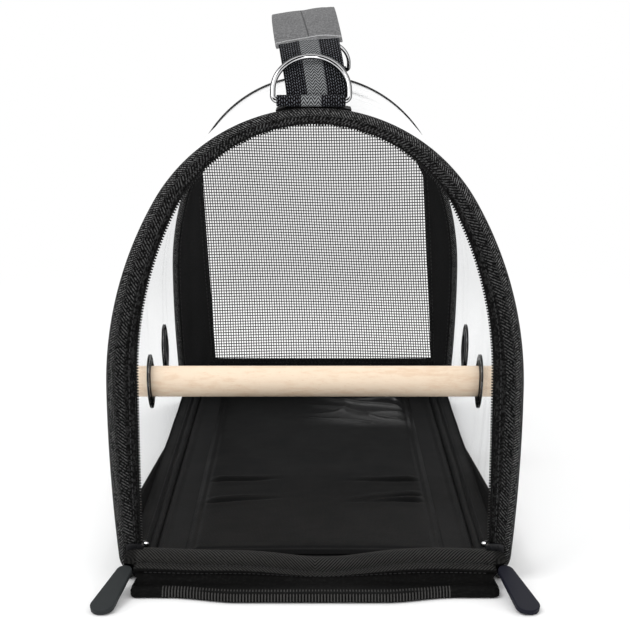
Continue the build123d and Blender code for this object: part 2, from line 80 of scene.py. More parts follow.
FRONT = extent("front_piping")[0][1]
REAR = extent("rear_piping")[1][1]
LENGTH = REAR - FRONT
FILM_INSET = 1.7  # depth of the film's middle below the hoops' outline
PERCH_SHARES = (0.5, 0.75)  # places of the perch holes along the carrier
WINDOW_SILL = 36.0  # level of the rear window's foot
LOOP_WIDTH = 36.6
TAB_BAR = 2.45  # radius of a loop's turn round its ring
DOOR_EDGE = 6.05  # how far the door's outer edge lies inside the mouth
DOOR_HEM = 16.0  # width of the door's cloth border


# --- Properties -------------------------------------------------------------------
def size(name, text, default):
    """A length property whose default is given in millimetres."""
    return bpy.props.FloatProperty(
        name=name, description=text, default=default * MM, unit="LENGTH", precision=5
    )


def shade(name, text, *default):
    """A colour property."""
    return bpy.props.FloatVectorProperty(
        name=name, description=text, default=default, size=3, min=0.0, max=1.0, subtype="COLOR"
    )


class CarrierSizes(bpy.types.PropertyGroup):
    """Sizes of the carrier's outlines and trim."""

    half_width: size(
        "Half width", "Half the width of the tunnel at its widest", extent("front_piping")[1][0]
    )
    widest_level: size("Widest level", "Height of the tunnel's widest place", 110.5)
    shoulder_spread: size("Shoulder spread", "Shoulder radius less the half width", 91.8)
    crown_tightening: size("Crown tightening", "Half width less the crown's radius", 14.4)
    side_radius: size("Side radius", "Radius of the nearly straight lower sides", 1000.0)
    band_width: size("Band width", "Width of the front band at the sides", 15.7)
    mouth_level: size("Mouth level", "Height of the mouth's widest place", 117.0)
    mouth_spread: size("Mouth spread", "Mouth's shoulder radius less its half width", 106.3)
    mouth_tightening: size("Mouth tightening", "Mouth's half width less its crown radius", 12.7)
    mouth_side_radius: size("Mouth side radius", "Radius of the mouth's lower sides", 20000.0)
    piping: size("Piping radius", "Radius of the corded edges", 2.3)
    tooth_pitch: size("Tooth pitch", "Distance from one zipper tooth to the next", 1.6)
    net_pitch: size("Net pitch", "Distance between the upright threads of the nets", 1.98)
    net_rise: size("Net rise", "Distance between the level threads of the nets", 2.26)
    net_thread: size("Net thread", "Width of a thread of the net", 0.70)
    stitch_pitch: size("Stitch pitch", "Distance from one stitch to the next", 3.2)
    strap_width: size("Strap width", "Width of the handle's webbing", 33.0)
    handle_lean: size("Handle lean", "How far the top of the handle leans to the left", 7.0)
    handle_tilt: bpy.props.FloatProperty(
        name="Handle tilt",
        description="How much the grip rolls to the left",
        default=np.radians(7.0),
        subtype="ANGLE",
    )


class CarrierColours(bpy.types.PropertyGroup):
    """Colours of the carrier's materials."""

    binding: shade("Binding", "Twill tape of the bands and piping", 0.012, 0.012, 0.012)
    strip: shade("Door strip", "Twill of the folded strip", 0.0128, 0.0126, 0.0121)
    nylon: shade("Nylon", "Plain woven lining, border and mat", 0.011, 0.011, 0.0112)
    net: shade("Net", "Threads of the net", 0.008, 0.008, 0.008)
    webbing: shade("Webbing", "Handle and loops", 0.011, 0.0115, 0.013)
    stripe: shade("Webbing stripe", "Stripe along the middle of the webbing", 0.16, 0.165, 0.17)
    wrap: shade("Grip wrap", "Soft wrap of the grip", 0.175, 0.175, 0.178)
    film: shade("Film", "What little colour the clear film has", 0.95, 0.955, 0.96)
    steel: shade("Steel", "Rings and zipper metal", 0.62, 0.62, 0.63)
    teeth: shade("Teeth", "Zipper coil", 0.012, 0.012, 0.012)
    rubber: shade("Rubber", "Grommets", 0.010, 0.010, 0.011)
    # The two pulls are one rubber: the left one's lighter colour is painted light, the right one's
    # darker, bluer colour painted shade.
    left_pull: shade("Left pull", "Rubber of the left zipper pull", 0.024, 0.027, 0.028)
    right_pull: shade("Right pull", "Rubber of the right zipper pull", 0.0095, 0.010, 0.017)
    wood: shade("Wood", "Bare perch", 1.0, 0.81, 0.62)
    grain: shade("Wood grain", "Darker flecks of the perch", 0.84, 0.58, 0.38)
    board: shade("Board", "Stiff board under the floor", 0.03, 0.028, 0.026)
    floor: shade("Floor", "Table under the carrier", 0.95, 0.95, 0.95)


def sizes():
    """The scene's carrier sizes by name, lengths in millimetres and the tilt in radians."""
    group = bpy.context.scene.carrier_sizes
    lengths_only = [name for name in group.__annotations__ if name != "handle_tilt"]
    found = {name: getattr(group, name) / MM for name in lengths_only}
    return {**found, "handle_tilt": group.handle_tilt}


# --- Shader maths -----------------------------------------------------------------
MIX_FIRST, MIX_SECOND, MIX_RESULT = 6, 7, 2  # colour sockets of a Mix node


class Value:
    """A shader value. Arithmetic with numbers or other values adds Math nodes."""

    def __init__(self, tree, socket):
        self.tree, self.socket = tree, socket

    def feed(self, socket, value):
        """Links a shader value to a socket, or sets a plain number or colour on it."""
        if isinstance(value, Value):
            self.tree.links.new(value.socket, socket)
        else:
            socket.default_value = value

    def node(self, kind, settings=None, inputs=None, output=0):
        """Adds a node, sets its settings, then the values or links of its sockets."""
        made = self.tree.nodes.new(kind)
        for key, setting in (settings or {}).items():
            setattr(made, key, setting)
        for key, value in (inputs or {}).items():
            self.feed(made.inputs[key], value)
        return Value(self.tree, made.outputs[output])

    def math(self, operation, *values):
        """A Math node on this value and others."""
        inputs = dict(enumerate((self, *values)))
        return self.node("ShaderNodeMath", {"operation": operation}, inputs)

    def __add__(self, other):
        return self.math("ADD", other)

    def __sub__(self, other):
        return self.math("SUBTRACT", other)

    def __rsub__(self, other):
        return self.math("MULTIPLY", -1.0).math("ADD", other)

    def __mul__(self, other):
        return self.math("MULTIPLY", other)

    def __gt__(self, other):
        return self.math("GREATER_THAN", other)

    __radd__, __rmul__ = __add__, __mul__

    def wave(self, pitch):
        """Smooth ridges from 0 to 1, one for each pitch."""
        return (self * (2 * np.pi / pitch)).math("SINE") * 0.5 + 0.5


class Finish(Value):
    """A material: its Principled shader, and the values that patterns are made from."""

    def __init__(self, name, colour, roughness, **sockets):
        self.material = bpy.data.materials.new(name)
        self.material.use_nodes = True
        self.material.diffuse_color = (*colour, 1.0)
        self.tree = self.material.node_tree
        self.shader = self.tree.nodes["Principled BSDF"]
        self.shaded = Value(self.tree, self.shader.outputs[0])
        self.set(Base_Color=(*colour, 1.0), Roughness=roughness, **sockets)

    def set(self, **sockets):
        """Sets or links sockets of the shader; an underscore in a name stands for a space."""
        for name, value in sockets.items():
            self.feed(self.shader.inputs[name.replace("_", " ")], value)

    def surface(self, share, first, second):
        """Shows a mix of two shaders in place of the material's own."""
        mixed = self.node("ShaderNodeMixShader", inputs={0: share, 1: first, 2: second})
        self.feed(self.tree.nodes["Material Output"].inputs["Surface"], mixed)

    def split(self, source):
        """The three parts of a vector, from metres to millimetres."""
        made = self.node("ShaderNodeSeparateXYZ", inputs={0: source})
        return [Value(self.tree, socket) * (1 / MM) for socket in made.socket.node.outputs]

    def place(self):
        """Place on the object, in millimetres."""
        return self.split(self.node("ShaderNodeTexCoord", output="Object"))

    def cloth(self):
        """Place on the cloth, in millimetres: along and across."""
        return self.split(self.node("ShaderNodeUVMap", {"uv_map": "cloth"}))[:2]

    def edge_on(self):
        """0 where the surface faces the eye and 1 where it is seen edge on."""
        return self.node("ShaderNodeLayerWeight", inputs={"Blend": 0.5}, output="Facing")

    def noise(self, scale, detail=2.0, stretch=(1.0, 1.0, 1.0)):
        """Noise from 0 to 1, its features 1 / scale metres wide; stretch multiplies the scale."""
        vector = self.node("ShaderNodeTexCoord", output="Object")
        vector = self.node("ShaderNodeMapping", inputs={"Vector": vector, "Scale": stretch})
        inputs = {"Vector": vector, "Scale": scale, "Detail": detail, "Roughness": 0.6}
        return self.node("ShaderNodeTexNoise", inputs=inputs)

    def ramp(self, value, low, high):
        """0 below low, 1 above high, with an S-shaped rise between."""
        inputs = {"Value": value, "From Min": low, "From Max": high}
        return self.node("ShaderNodeMapRange", {"interpolation_type": "SMOOTHSTEP"}, inputs)

    def mix(self, share, first, second):
        """Colour between two others."""
        inputs = {0: share}
        for key, tone in ((MIX_FIRST, first), (MIX_SECOND, second)):
            inputs[key] = tone if isinstance(tone, Value) else (*tone[:3], 1.0)
        return self.node("ShaderNodeMix", {"data_type": "RGBA"}, inputs, MIX_RESULT)

    def bump(self, height, depth):
        """Relief of a height from 0 to 1, with a depth in millimetres."""
        inputs = {"Strength": 1.0, "Distance": depth * MM, "Height": height}
        self.set(Normal=self.node("ShaderNodeBump", inputs=inputs))


def scaled(colour, factor):
    """A lighter or darker colour."""
    return tuple(min(1.0, part * factor) for part in colour[:3])


# --- Finishes ---------------------------------------------------------------------
FABRIC = {"Specular_IOR_Level": 0.05}
THREAD_GRAIN = 1500.0  # noise scale of single threads


def twill_finish(name, colour):
    """Tape with raised diagonal ribs: a wave over along plus a slope times across."""
    finish = Finish(name, colour, 0.62, **FABRIC)
    along, across = finish.cloth()
    rib_pitch, rib_slope, thread_pitch, thread_slope = 1.5, 0.75, 0.55, 2.2
    ribs = (along + across * rib_slope).wave(rib_pitch)
    thread = (along - across * thread_slope).wave(thread_pitch)
    fuzz = finish.noise(900.0)
    # The pale flecks on the crests of the ribs are a painted highlight; the ribs' relief is real.
    flecks = ribs * ribs * finish.ramp(finish.noise(THREAD_GRAIN), 0.42, 0.58)
    finish.set(Base_Color=finish.mix(flecks, scaled(colour, 0.35), scaled(colour, 15.0)))
    finish.bump(ribs * 0.8 + thread * 0.2 + fuzz * 0.2, 0.22)
    return finish


def band_finish(name, colour):
    """Front band: diagonal flecks outside, which are a painted highlight on its ribs, then a
    speckled weave, and black at the zipper.
    """
    finish = Finish(name, colour, 0.75, Specular_IOR_Level=0.03)
    along, across = finish.cloth()
    rib_pitch, rib_slope = 1.9, 0.9
    ribs = (along.math("ABSOLUTE") - across * rib_slope).wave(rib_pitch)
    outer = 1 - finish.ramp(across, 5.0, 6.2)
    grain = finish.noise(850.0)
    # The flecks on the crests of the herringbone ribs are a painted highlight; the speckle beside
    # them is random tone.
    herringbone_highlight = ribs * ribs * finish.ramp(grain, 0.38, 0.60) * outer
    speckle = finish.ramp(grain, 0.46, 0.62) * (1 - outer) * 0.2
    zipper_edge = finish.ramp(across, 11.2, 12.2)
    flecks = (herringbone_highlight + speckle) * (1 - zipper_edge * 0.85)
    finish.set(Base_Color=finish.mix(flecks, scaled(colour, 0.25), scaled(colour, 6.5)))
    finish.bump(ribs * outer * 0.6 + grain * 0.4, 0.2)
    return finish


def strip_finish(name, colour):
    """Door strip: twill ribs that lean to the middle from both sides, plain at top and foot."""
    finish = Finish(name, colour, 0.6, **FABRIC)
    along, across = finish.cloth()
    rib_pitch, rib_slope = 1.9, 1.05
    ribs = (along.math("ABSOLUTE") + across * rib_slope).wave(rib_pitch)
    tape = finish.ramp(across, 5.0, 6.0) * (1 - finish.ramp(across, 27.0, 28.0))
    soft_end = finish.ramp(along.math("ABSOLUTE"), 97.5, 100.5)
    tape = tape * (1 - soft_end * 0.7)
    fuzz = finish.noise(800.0)
    # The crests of the ribs are painted lighter, a painted highlight that fades out at the soft
    # ends; their relief is real.
    tone = ribs * tape * 0.9 + fuzz * 0.5 - 0.25
    finish.set(Base_Color=finish.mix(tone, scaled(colour, 0.2), scaled(colour, 3.6)))
    finish.bump(ribs * tape * 0.9 + fuzz * 0.25, 0.4)
    return finish


def weave_finish(name, colour, roughness=0.65, pitch=0.7, shine=0.05, wrinkle=0.2):
    """Plain woven cloth: crossing threads on a soft uneven ground."""
    finish = Finish(name, colour, roughness, Specular_IOR_Level=shine)
    along, across = finish.cloth()
    threads = along.wave(pitch) * across.wave(pitch)
    soft = finish.noise(38.0, 3.0)
    fine = finish.noise(THREAD_GRAIN)
    tone = finish.ramp(fine, 0.4, 0.75) * 0.7 + soft * 0.3
    finish.set(
        Base_Color=finish.mix(tone, scaled(colour, 0.65), scaled(colour, 1.35)),
        Roughness=soft * 0.2 + (roughness - 0.1),
    )
    finish.bump(threads * 0.06 + fine * 0.05 + soft * wrinkle, 1.0)
    return finish


def mat_finish(name, colour):
    """Coated cloth of the mat: plain weave that shines on the loose wrinkles at its rear right."""
    finish = weave_finish(name, colour, 0.5, 0.8, 0.03, 0.35)
    x, y, _ = finish.place()
    loose = finish.ramp(x, -15.0, 40.0) * finish.ramp(y, 104.0, 130.0)
    finish.set(Coat_Weight=loose * 0.5, Coat_Roughness=0.25)
    return finish


def webbing_finish(name, colour):
    """Webbing woven in chevrons about its middle, with a paler stripe there."""
    stripe = bpy.context.scene.carrier_colours.stripe
    finish = Finish(name, colour, 0.6, **FABRIC)
    along, across = finish.cloth()
    chevron_pitch, chevron_fold, cord_pitch = 1.8, 1.95, 1.3
    chevron = (along + across.math("PINGPONG", chevron_fold) * 1.3).wave(chevron_pitch)
    cords = across.wave(cord_pitch)
    middle = 1 - finish.ramp(across.math("ABSOLUTE"), 4.9, 5.6)
    fuzz = finish.noise(1100.0)
    tone = chevron * 1.1 + fuzz * 0.5 - 0.38
    speckle = finish.ramp(finish.noise(THREAD_GRAIN), 0.38, 0.60) * 0.75 + 0.25
    # Flecks on the crests where chevrons and cords cross are a painted sheen; the paler middle
    # stripe is the webbing's own colour.
    flecks = finish.ramp(chevron * cords, 0.3, 0.8) * speckle
    plain = finish.mix(flecks, scaled(colour, 0.15), scaled(colour, 15.0))
    pale = finish.mix(tone, scaled(stripe, 0.05), scaled(stripe, 1.7))
    finish.set(Base_Color=finish.mix(middle, plain, pale))
    finish.bump(chevron * 0.7 + cords * 0.3 + fuzz * 0.3, 0.3)
    return finish


def wrap_finish(name, colour):
    """Brushed knit: fine rows under a short fuzz, a pale overlocked rim at its ends, and a painted
    shade line along its overlap seam.
    """
    finish = Finish(name, colour, 0.9, Specular_IOR_Level=0.1)
    along, across = finish.cloth()
    row_pitch, column_pitch, loop_pitch = 0.9, 1.1, 0.8
    rows = along.wave(row_pitch) * 0.5 + across.wave(column_pitch) * 0.5
    fuzz = finish.ramp(finish.noise(850.0, 4.0), 0.36, 0.64)
    cloud = finish.noise(90.0)
    tone = fuzz * 0.6 + cloud * 0.3 + rows * 0.1
    knit = finish.mix(tone, scaled(colour, 0.55), scaled(colour, 1.22))
    rim = 1 - finish.ramp(along, 0.9, 1.2)
    loops = across.wave(loop_pitch)
    pale = finish.mix(loops, scaled(colour, 1.3), scaled(colour, 3.4))
    # A dark line along the overlap seam is painted shade in the step of the lap.
    from_lap = (across + along * LAP_SLANT - 0.6).math("ABSOLUTE")
    painted_lap_shade = 1 - finish.ramp(from_lap, 0.25, 0.55)
    knit = finish.mix(painted_lap_shade * 0.75, knit, scaled(colour, 0.3))
    finish.set(Base_Color=finish.mix(rim, knit, pale))
    finish.bump(fuzz * 0.7 + rows * 0.4 + rim * loops, 0.25)
    return finish


def film_finish(name, colour):
    """Clear film: upright streaks, a haze of scuffs, and a painted white reflection where its
    outside is seen nearly edge on.
    """
    finish = Finish(name, colour, 0.2, Specular_IOR_Level=0.5)
    streaks = finish.ramp(finish.noise(9.0, 3.0, (0.2, 4.5, 0.35)), 0.52, 0.80)
    scuffs = finish.ramp(finish.noise(60.0, 5.0), 0.62, 0.9)
    edge_on = finish.edge_on()
    finish.set(Roughness=scuffs * 0.2 + 0.15)
    finish.bump(finish.noise(14.0, 2.0), 0.4)
    x, _, z = finish.place()
    facing_x, _, facing_z = finish.split(finish.node("ShaderNodeNewGeometry", output="Normal"))
    tunnel_middle = 120.0
    outside = (x * facing_x + (z - tunnel_middle) * facing_z) > 0.0
    # Seen nearly edge on from outside, the film turns opaque white: a painted reflection of the
    # white surroundings.
    painted_edge_glare = finish.ramp(edge_on, 0.915, 0.937) * outside
    share = streaks * 0.08 + scuffs * 0.03 + edge_on.math("POWER", 5.0) * 0.06
    share = (share + painted_edge_glare * 0.9 + 0.005).math("MINIMUM", 0.97)
    clear = finish.node("ShaderNodeBsdfTransparent", inputs={"Color": (0.93, 0.933, 0.935, 1.0)})
    finish.surface(share, clear, finish.shaded)
    return finish


def metal_finish(name, colour, roughness):
    """Polished or drawn metal with a fine uneven polish, darker towards its edges, where a dark
    reflection is painted into its colour.
    """
    finish = Finish(name, colour, roughness, Metallic=1.0)
    polish = finish.noise(240.0, 4.0)
    # Seen edge on, the metal's colour falls to nearly black: a painted dark reflection.
    edge = finish.ramp(finish.edge_on(), 0.08, 0.42)
    tone = finish.mix(polish, scaled(colour, 0.85), colour)
    finish.set(
        Roughness=polish * 0.12 + roughness,
        Base_Color=finish.mix(edge, tone, scaled(colour, 0.06)),
    )
    finish.bump(polish, 0.02)
    return finish


def moulded_finish(name, colour, roughness, grain, depth, shine=0.4):
    """Moulded rubber or plastic with a fine pebbled skin."""
    finish = Finish(name, colour, roughness, Specular_IOR_Level=shine)
    skin = finish.noise(grain, 3.0)
    worn = finish.ramp(finish.noise(70.0, 3.0), 0.5, 0.8)
    tone = skin * 0.5 + worn * 0.5
    finish.set(
        Base_Color=finish.mix(tone, scaled(colour, 0.8), scaled(colour, 1.35)),
        Roughness=worn * 0.15 + roughness,
    )
    finish.bump(skin, depth)
    return finish


def wood_finish(name, colour):
    """Bare turned wood: fine flecks drawn out along its length over faint wide bands."""
    grain = bpy.context.scene.carrier_colours.grain
    finish = Finish(name, colour, 0.62, Specular_IOR_Level=0.3)
    flecks = finish.noise(420.0, 4.0, (0.22, 1.0, 1.0))
    bands = finish.noise(90.0, 3.0, (0.25, 1.0, 1.0))
    pores = finish.ramp(finish.noise(1400.0, 2.0, (0.2, 1.0, 1.0)), 0.60, 0.72)
    tone = finish.ramp(flecks * 0.6 + bands * 0.4, 0.46, 0.66)
    finish.set(
        Base_Color=finish.mix(tone * 0.5 + pores * 0.4, colour, grain),
        Roughness=flecks * 0.2 + 0.5,
    )
    finish.bump(flecks * 0.6 - pores * 0.6, 0.12)
    return finish


# What each material is made with: its maker, its colour's name and the factor on that
# colour, then the maker's own numbers: roughness, and for moulded ones grain, depth, shine.
RECIPES = {
    "clear_film": (film_finish, "film", 1.0),
    "black_binding": (twill_finish, "binding", 1.0),
    "strip_twill": (strip_finish, "strip", 1.0),
    "band_tape": (band_finish, "binding", 1.0),
    "black_nylon": (weave_finish, "nylon", 1.0),
    "mat_nylon": (mat_finish, "nylon", 0.55),
    "black_mesh": (moulded_finish, "net", 1.0, 0.7, THREAD_GRAIN, 0.05, 0.2),
    "black_webbing": (webbing_finish, "webbing", 1.0),
    "grey_wrap": (wrap_finish, "wrap", 1.0),
    "frame_steel": (metal_finish, "steel", 0.8, 0.35),
    "bright_steel": (metal_finish, "steel", 1.3, 0.04),
    "dark_nickel": (metal_finish, "steel", 0.75, 0.12),
    "black_metal": (moulded_finish, "rubber", 1.2, 0.25, 300.0, 0.02, 0.3),
    "zipper_plastic": (moulded_finish, "teeth", 0.25, 0.4, 900.0, 0.02, 0.12),
    "board": (moulded_finish, "board", 1.0, 0.8, 300.0, 0.1),
    "black_rubber": (moulded_finish, "rubber", 1.0, 0.3, 700.0, 0.02, 0.25),
    # One rubber for both pulls in lit and shaded copies: painted light on the left, painted shade
    # on the right.
    "left_pull_rubber": (moulded_finish, "left_pull", 1.0, 0.55, 1200.0, 0.04, 0.12),
    "right_pull_rubber": (moulded_finish, "right_pull", 1.0, 0.55, 1200.0, 0.04, 0.12),
    "bare_wood": (wood_finish, "wood", 1.0),
    # cord is the strip's colour made 3.8 times lighter: the hem's ribs are real, their paleness is
    # a painted highlight.
    "cord": (moulded_finish, "strip", 3.8, 0.7, 900.0, 0.05, 0.1),
    "thread": (moulded_finish, "nylon", 2.6, 0.7, 900.0, 0.05, 0.1),
}
MATERIALS = {}


def material_of(name):
    """The material of a recipe, made when it is first asked for."""
    if name not in MATERIALS:
        maker, colour, factor, *numbers = RECIPES[name]
        tone = scaled(getattr(bpy.context.scene.carrier_colours, colour), factor)
        MATERIALS[name] = maker(name, tone, *numbers).material
    return MATERIALS[name]


# --- Lines and surfaces -----------------------------------------------------------
def spread(*parts):
    """Points from their parts, such as x, y and z, which are spread to one common shape."""
    return np.stack(np.broadcast_arrays(*parts), -1)


def unit(vectors):
    """Vectors scaled to length one."""
    return vectors / np.maximum(np.linalg.norm(vectors, axis=-1, keepdims=True), 1e-12)


def smooth(value, low, high):
    """0 below low, 1 above high, with an S-shaped rise between."""
    t = np.clip((value - low) / (high - low), 0, 1)
    return t * t * (3 - 2 * t)


def bell(value, width):
    """1 at zero, falling off as a bell over width."""
    return np.exp(-((value / width) ** 2))


def signed_power(wave, power):
    """A wave whose size is raised to a power and whose sign is kept."""
    return np.sign(wave) * np.abs(wave) ** power


def arc(centre, radius, start, end, step=1.5):
    """Points on an arc: centre plus radius times cos and sin of evenly spaced degrees."""
    count = max(3, int(np.ceil(abs(np.radians(end - start)) * radius / step)) + 1)
    angles = np.radians(np.linspace(start, end, count))
    return spread(centre[0] + radius * np.cos(angles), centre[1] + radius * np.sin(angles))


def joined(*runs):
    """Runs of points put end to end, without the points that repeat."""
    line = np.concatenate(runs)
    keep = np.concatenate([[True], np.linalg.norm(np.diff(line, axis=0), axis=1) > 1e-6])
    return line[keep]


def lengths(points, axis=0):
    """Distance run along an axis of a grid of points."""
    steps = np.linalg.norm(np.diff(points, axis=axis), axis=-1)
    start = np.zeros_like(np.take(steps, [0], axis))
    return np.concatenate([start, np.cumsum(steps, axis=axis)], axis)


def even(line, step=2.0, count=None, closed=False):
    """Points at even distances along a line, which a closed one joins back to its start."""
    if closed:
        line = np.vstack([line, line[:1]])
    run = lengths(line)
    count = count or max(3, int(round(run[-1] / step)) + 1)
    at = np.linspace(0, run[-1], count + closed)[:count]
    return np.stack([np.interp(at, run, part) for part in line.T], -1)


def spline(points, per_run=4, closed=False):
    """Smooth line through points: cubics whose slopes are half the step between neighbours."""
    p = np.asarray(points, float)
    before, after = (p[-1:], p[:2]) if closed else (2 * p[:1] - p[1:2], 2 * p[-1:] - p[-2:-1])
    p = np.vstack([before, p, after])
    a, b, c, d = (p[i : len(p) - 3 + i, None] for i in range(4))
    t = np.linspace(0, 1, per_run, endpoint=False)[None, :, None]
    square, cube = 2 * a - 5 * b + 4 * c - d, 3 * b - a - 3 * c + d
    line = (0.5 * (2 * b + (c - a) * t + square * t**2 + cube * t**3)).reshape(-1, p.shape[1])
    return line if closed else np.vstack([line, p[-2:-1]])


def circle(sides, turn=0.0):
    """Cos and sin of even angles round a circle, turned by an angle."""
    angle = np.linspace(0, 2 * np.pi, sides, endpoint=False) + turn
    return spread(np.cos(angle), np.sin(angle))


def slab_profile(thickness, width, sides=40, power=0.25):
    """Flat profile with round edges: sin to a power is the width, steepened cos the thickness."""
    wave = signed_power(circle(sides, np.pi / sides), np.array([1.0, power]))
    wave[:, 0] = signed_power(np.clip(wave[:, 0] * 3.0, -1, 1), 0.6)
    return wave * np.array([thickness / 2, width / 2])


class Arch:
    """Outline of tangent arcs: two nearly straight sides, two shoulders and a crown."""

    def __init__(self, half_width, level, spread_out, tightening, side):
        self.half_width, self.level, self.side = half_width, level, side
        self.spread_out = spread_out
        self.shoulder, self.crown = half_width + spread_out, half_width - tightening
        rise = np.sqrt((spread_out + tightening) ** 2 - spread_out**2)
        self.crown_level = level + rise
        self.turn = np.degrees(np.arctan2(rise, spread_out))
        self.top = self.crown_level + self.crown

    def line(self, inset, low, corner=0.0):
        """The outline drawn in by inset, from right foot to left foot. A corner rounds the feet."""
        side_x, side = self.half_width - self.side, self.side - inset
        start = []
        if corner:
            reach = np.sqrt((side - corner) ** 2 - (low + corner - self.level) ** 2)
            foot = np.degrees(np.arctan2(self.level - low - corner, reach))
            start = [arc((side_x + reach, low + corner), corner, -90, -foot, 0.8)]
        else:
            foot = np.degrees(np.arcsin((self.level - low) / side))
        right = joined(
            *start,
            arc((side_x, self.level), side, -foot, 0),
            arc((-self.spread_out, self.level), self.shoulder - inset, 0, self.turn),
            arc((0, self.crown_level), self.crown - inset, self.turn, 90),
        )
        return joined(right, right[::-1] * (-1, 1))


def shell_arch():
    """Outline of the tunnel and its hoops."""
    s = sizes()
    names = ("half_width", "widest_level", "shoulder_spread", "crown_tightening", "side_radius")
    return Arch(*(s[name] for name in names))


def mouth_arch():
    """Outline of the front opening, where the zipper runs."""
    s = sizes()
    half = s["half_width"] - s["band_width"]
    names = ("mouth_level", "mouth_spread", "mouth_tightening", "mouth_side_radius")
    return Arch(half, *(s[name] for name in names))


def upright(line, y):
    """A line of x and z stood up at y."""
    return spread(line[..., 0], y, line[..., 1])


def closed_line(over, count):
    """An arch's line closed by a straight foot of count points."""
    foot = even(np.array([over[-1], over[0]]), count=count)
    return np.vstack([over, foot[1:-1]])


def outward(line):
    """Unit normals of a line that runs anticlockwise, pointing out."""
    step = np.gradient(line, axis=0)
    return unit(spread(step[:, 1], -step[:, 0]))


def ruled(first, second, shares):
    """Straight lines from each point of one line to its partner on another, at given shares."""
    shares = np.asarray(shares)[None, :, None]
    return first[:, None] * (1 - shares) + second[:, None] * shares


def sweep(path, profile, axis, closed=False):
    """A profile (a, b) carried along a path: path + a * (tangent x axis) + b * axis."""
    step = np.roll(path, -1, 0) - np.roll(path, 1, 0) if closed else np.gradient(path, axis=0)
    side = unit(np.cross(unit(step), axis))
    profile = np.broadcast_to(profile, (len(path), *np.shape(profile)[-2:]))
    return path[:, None] + profile[..., :1] * side[:, None] + profile[..., 1:] * axis


def bead(rings=3, sides=6, power=1.0):
    """Unit bead along x: cos and sin of latitude and longitude to a power, between two poles."""
    latitude = np.linspace(-np.pi / 2, np.pi / 2, rings + 2)[1:-1, None]
    round_x, round_y = signed_power(circle(sides), power).T[:, None]
    radius, x = (signed_power(wave(latitude), power) for wave in (np.cos, np.sin))
    body = spread(x, radius * round_x, radius * round_y).reshape(-1, 3)
    points = np.vstack([[-1, 0, 0], body, [1, 0, 0]])
    row = np.arange(sides)
    ahead = (row + 1) % sides
    start = np.arange(rings - 1)[:, None] * sides + 1
    corners = (start + row, start + ahead, start + sides + ahead, start + sides + row)
    last = len(points) - 1
    first_cap = spread(0, 1 + ahead, 1 + row)
    last_cap = spread(last, last - sides + row, last - sides + ahead)
    return points, np.stack(corners, -1).reshape(-1, 4), np.concatenate([first_cap, last_cap])


def close_ends(rows, share=0.01):
    """Rows with one more close to each end, which keeps the sides' shading straight at a cap."""
    first = rows[:1] * (1 - share) + rows[1:2] * share
    last = rows[-1:] * (1 - share) + rows[-2:-1] * share
    return np.concatenate([rows[:1], first, rows[1:-1], last, rows[-1:]])


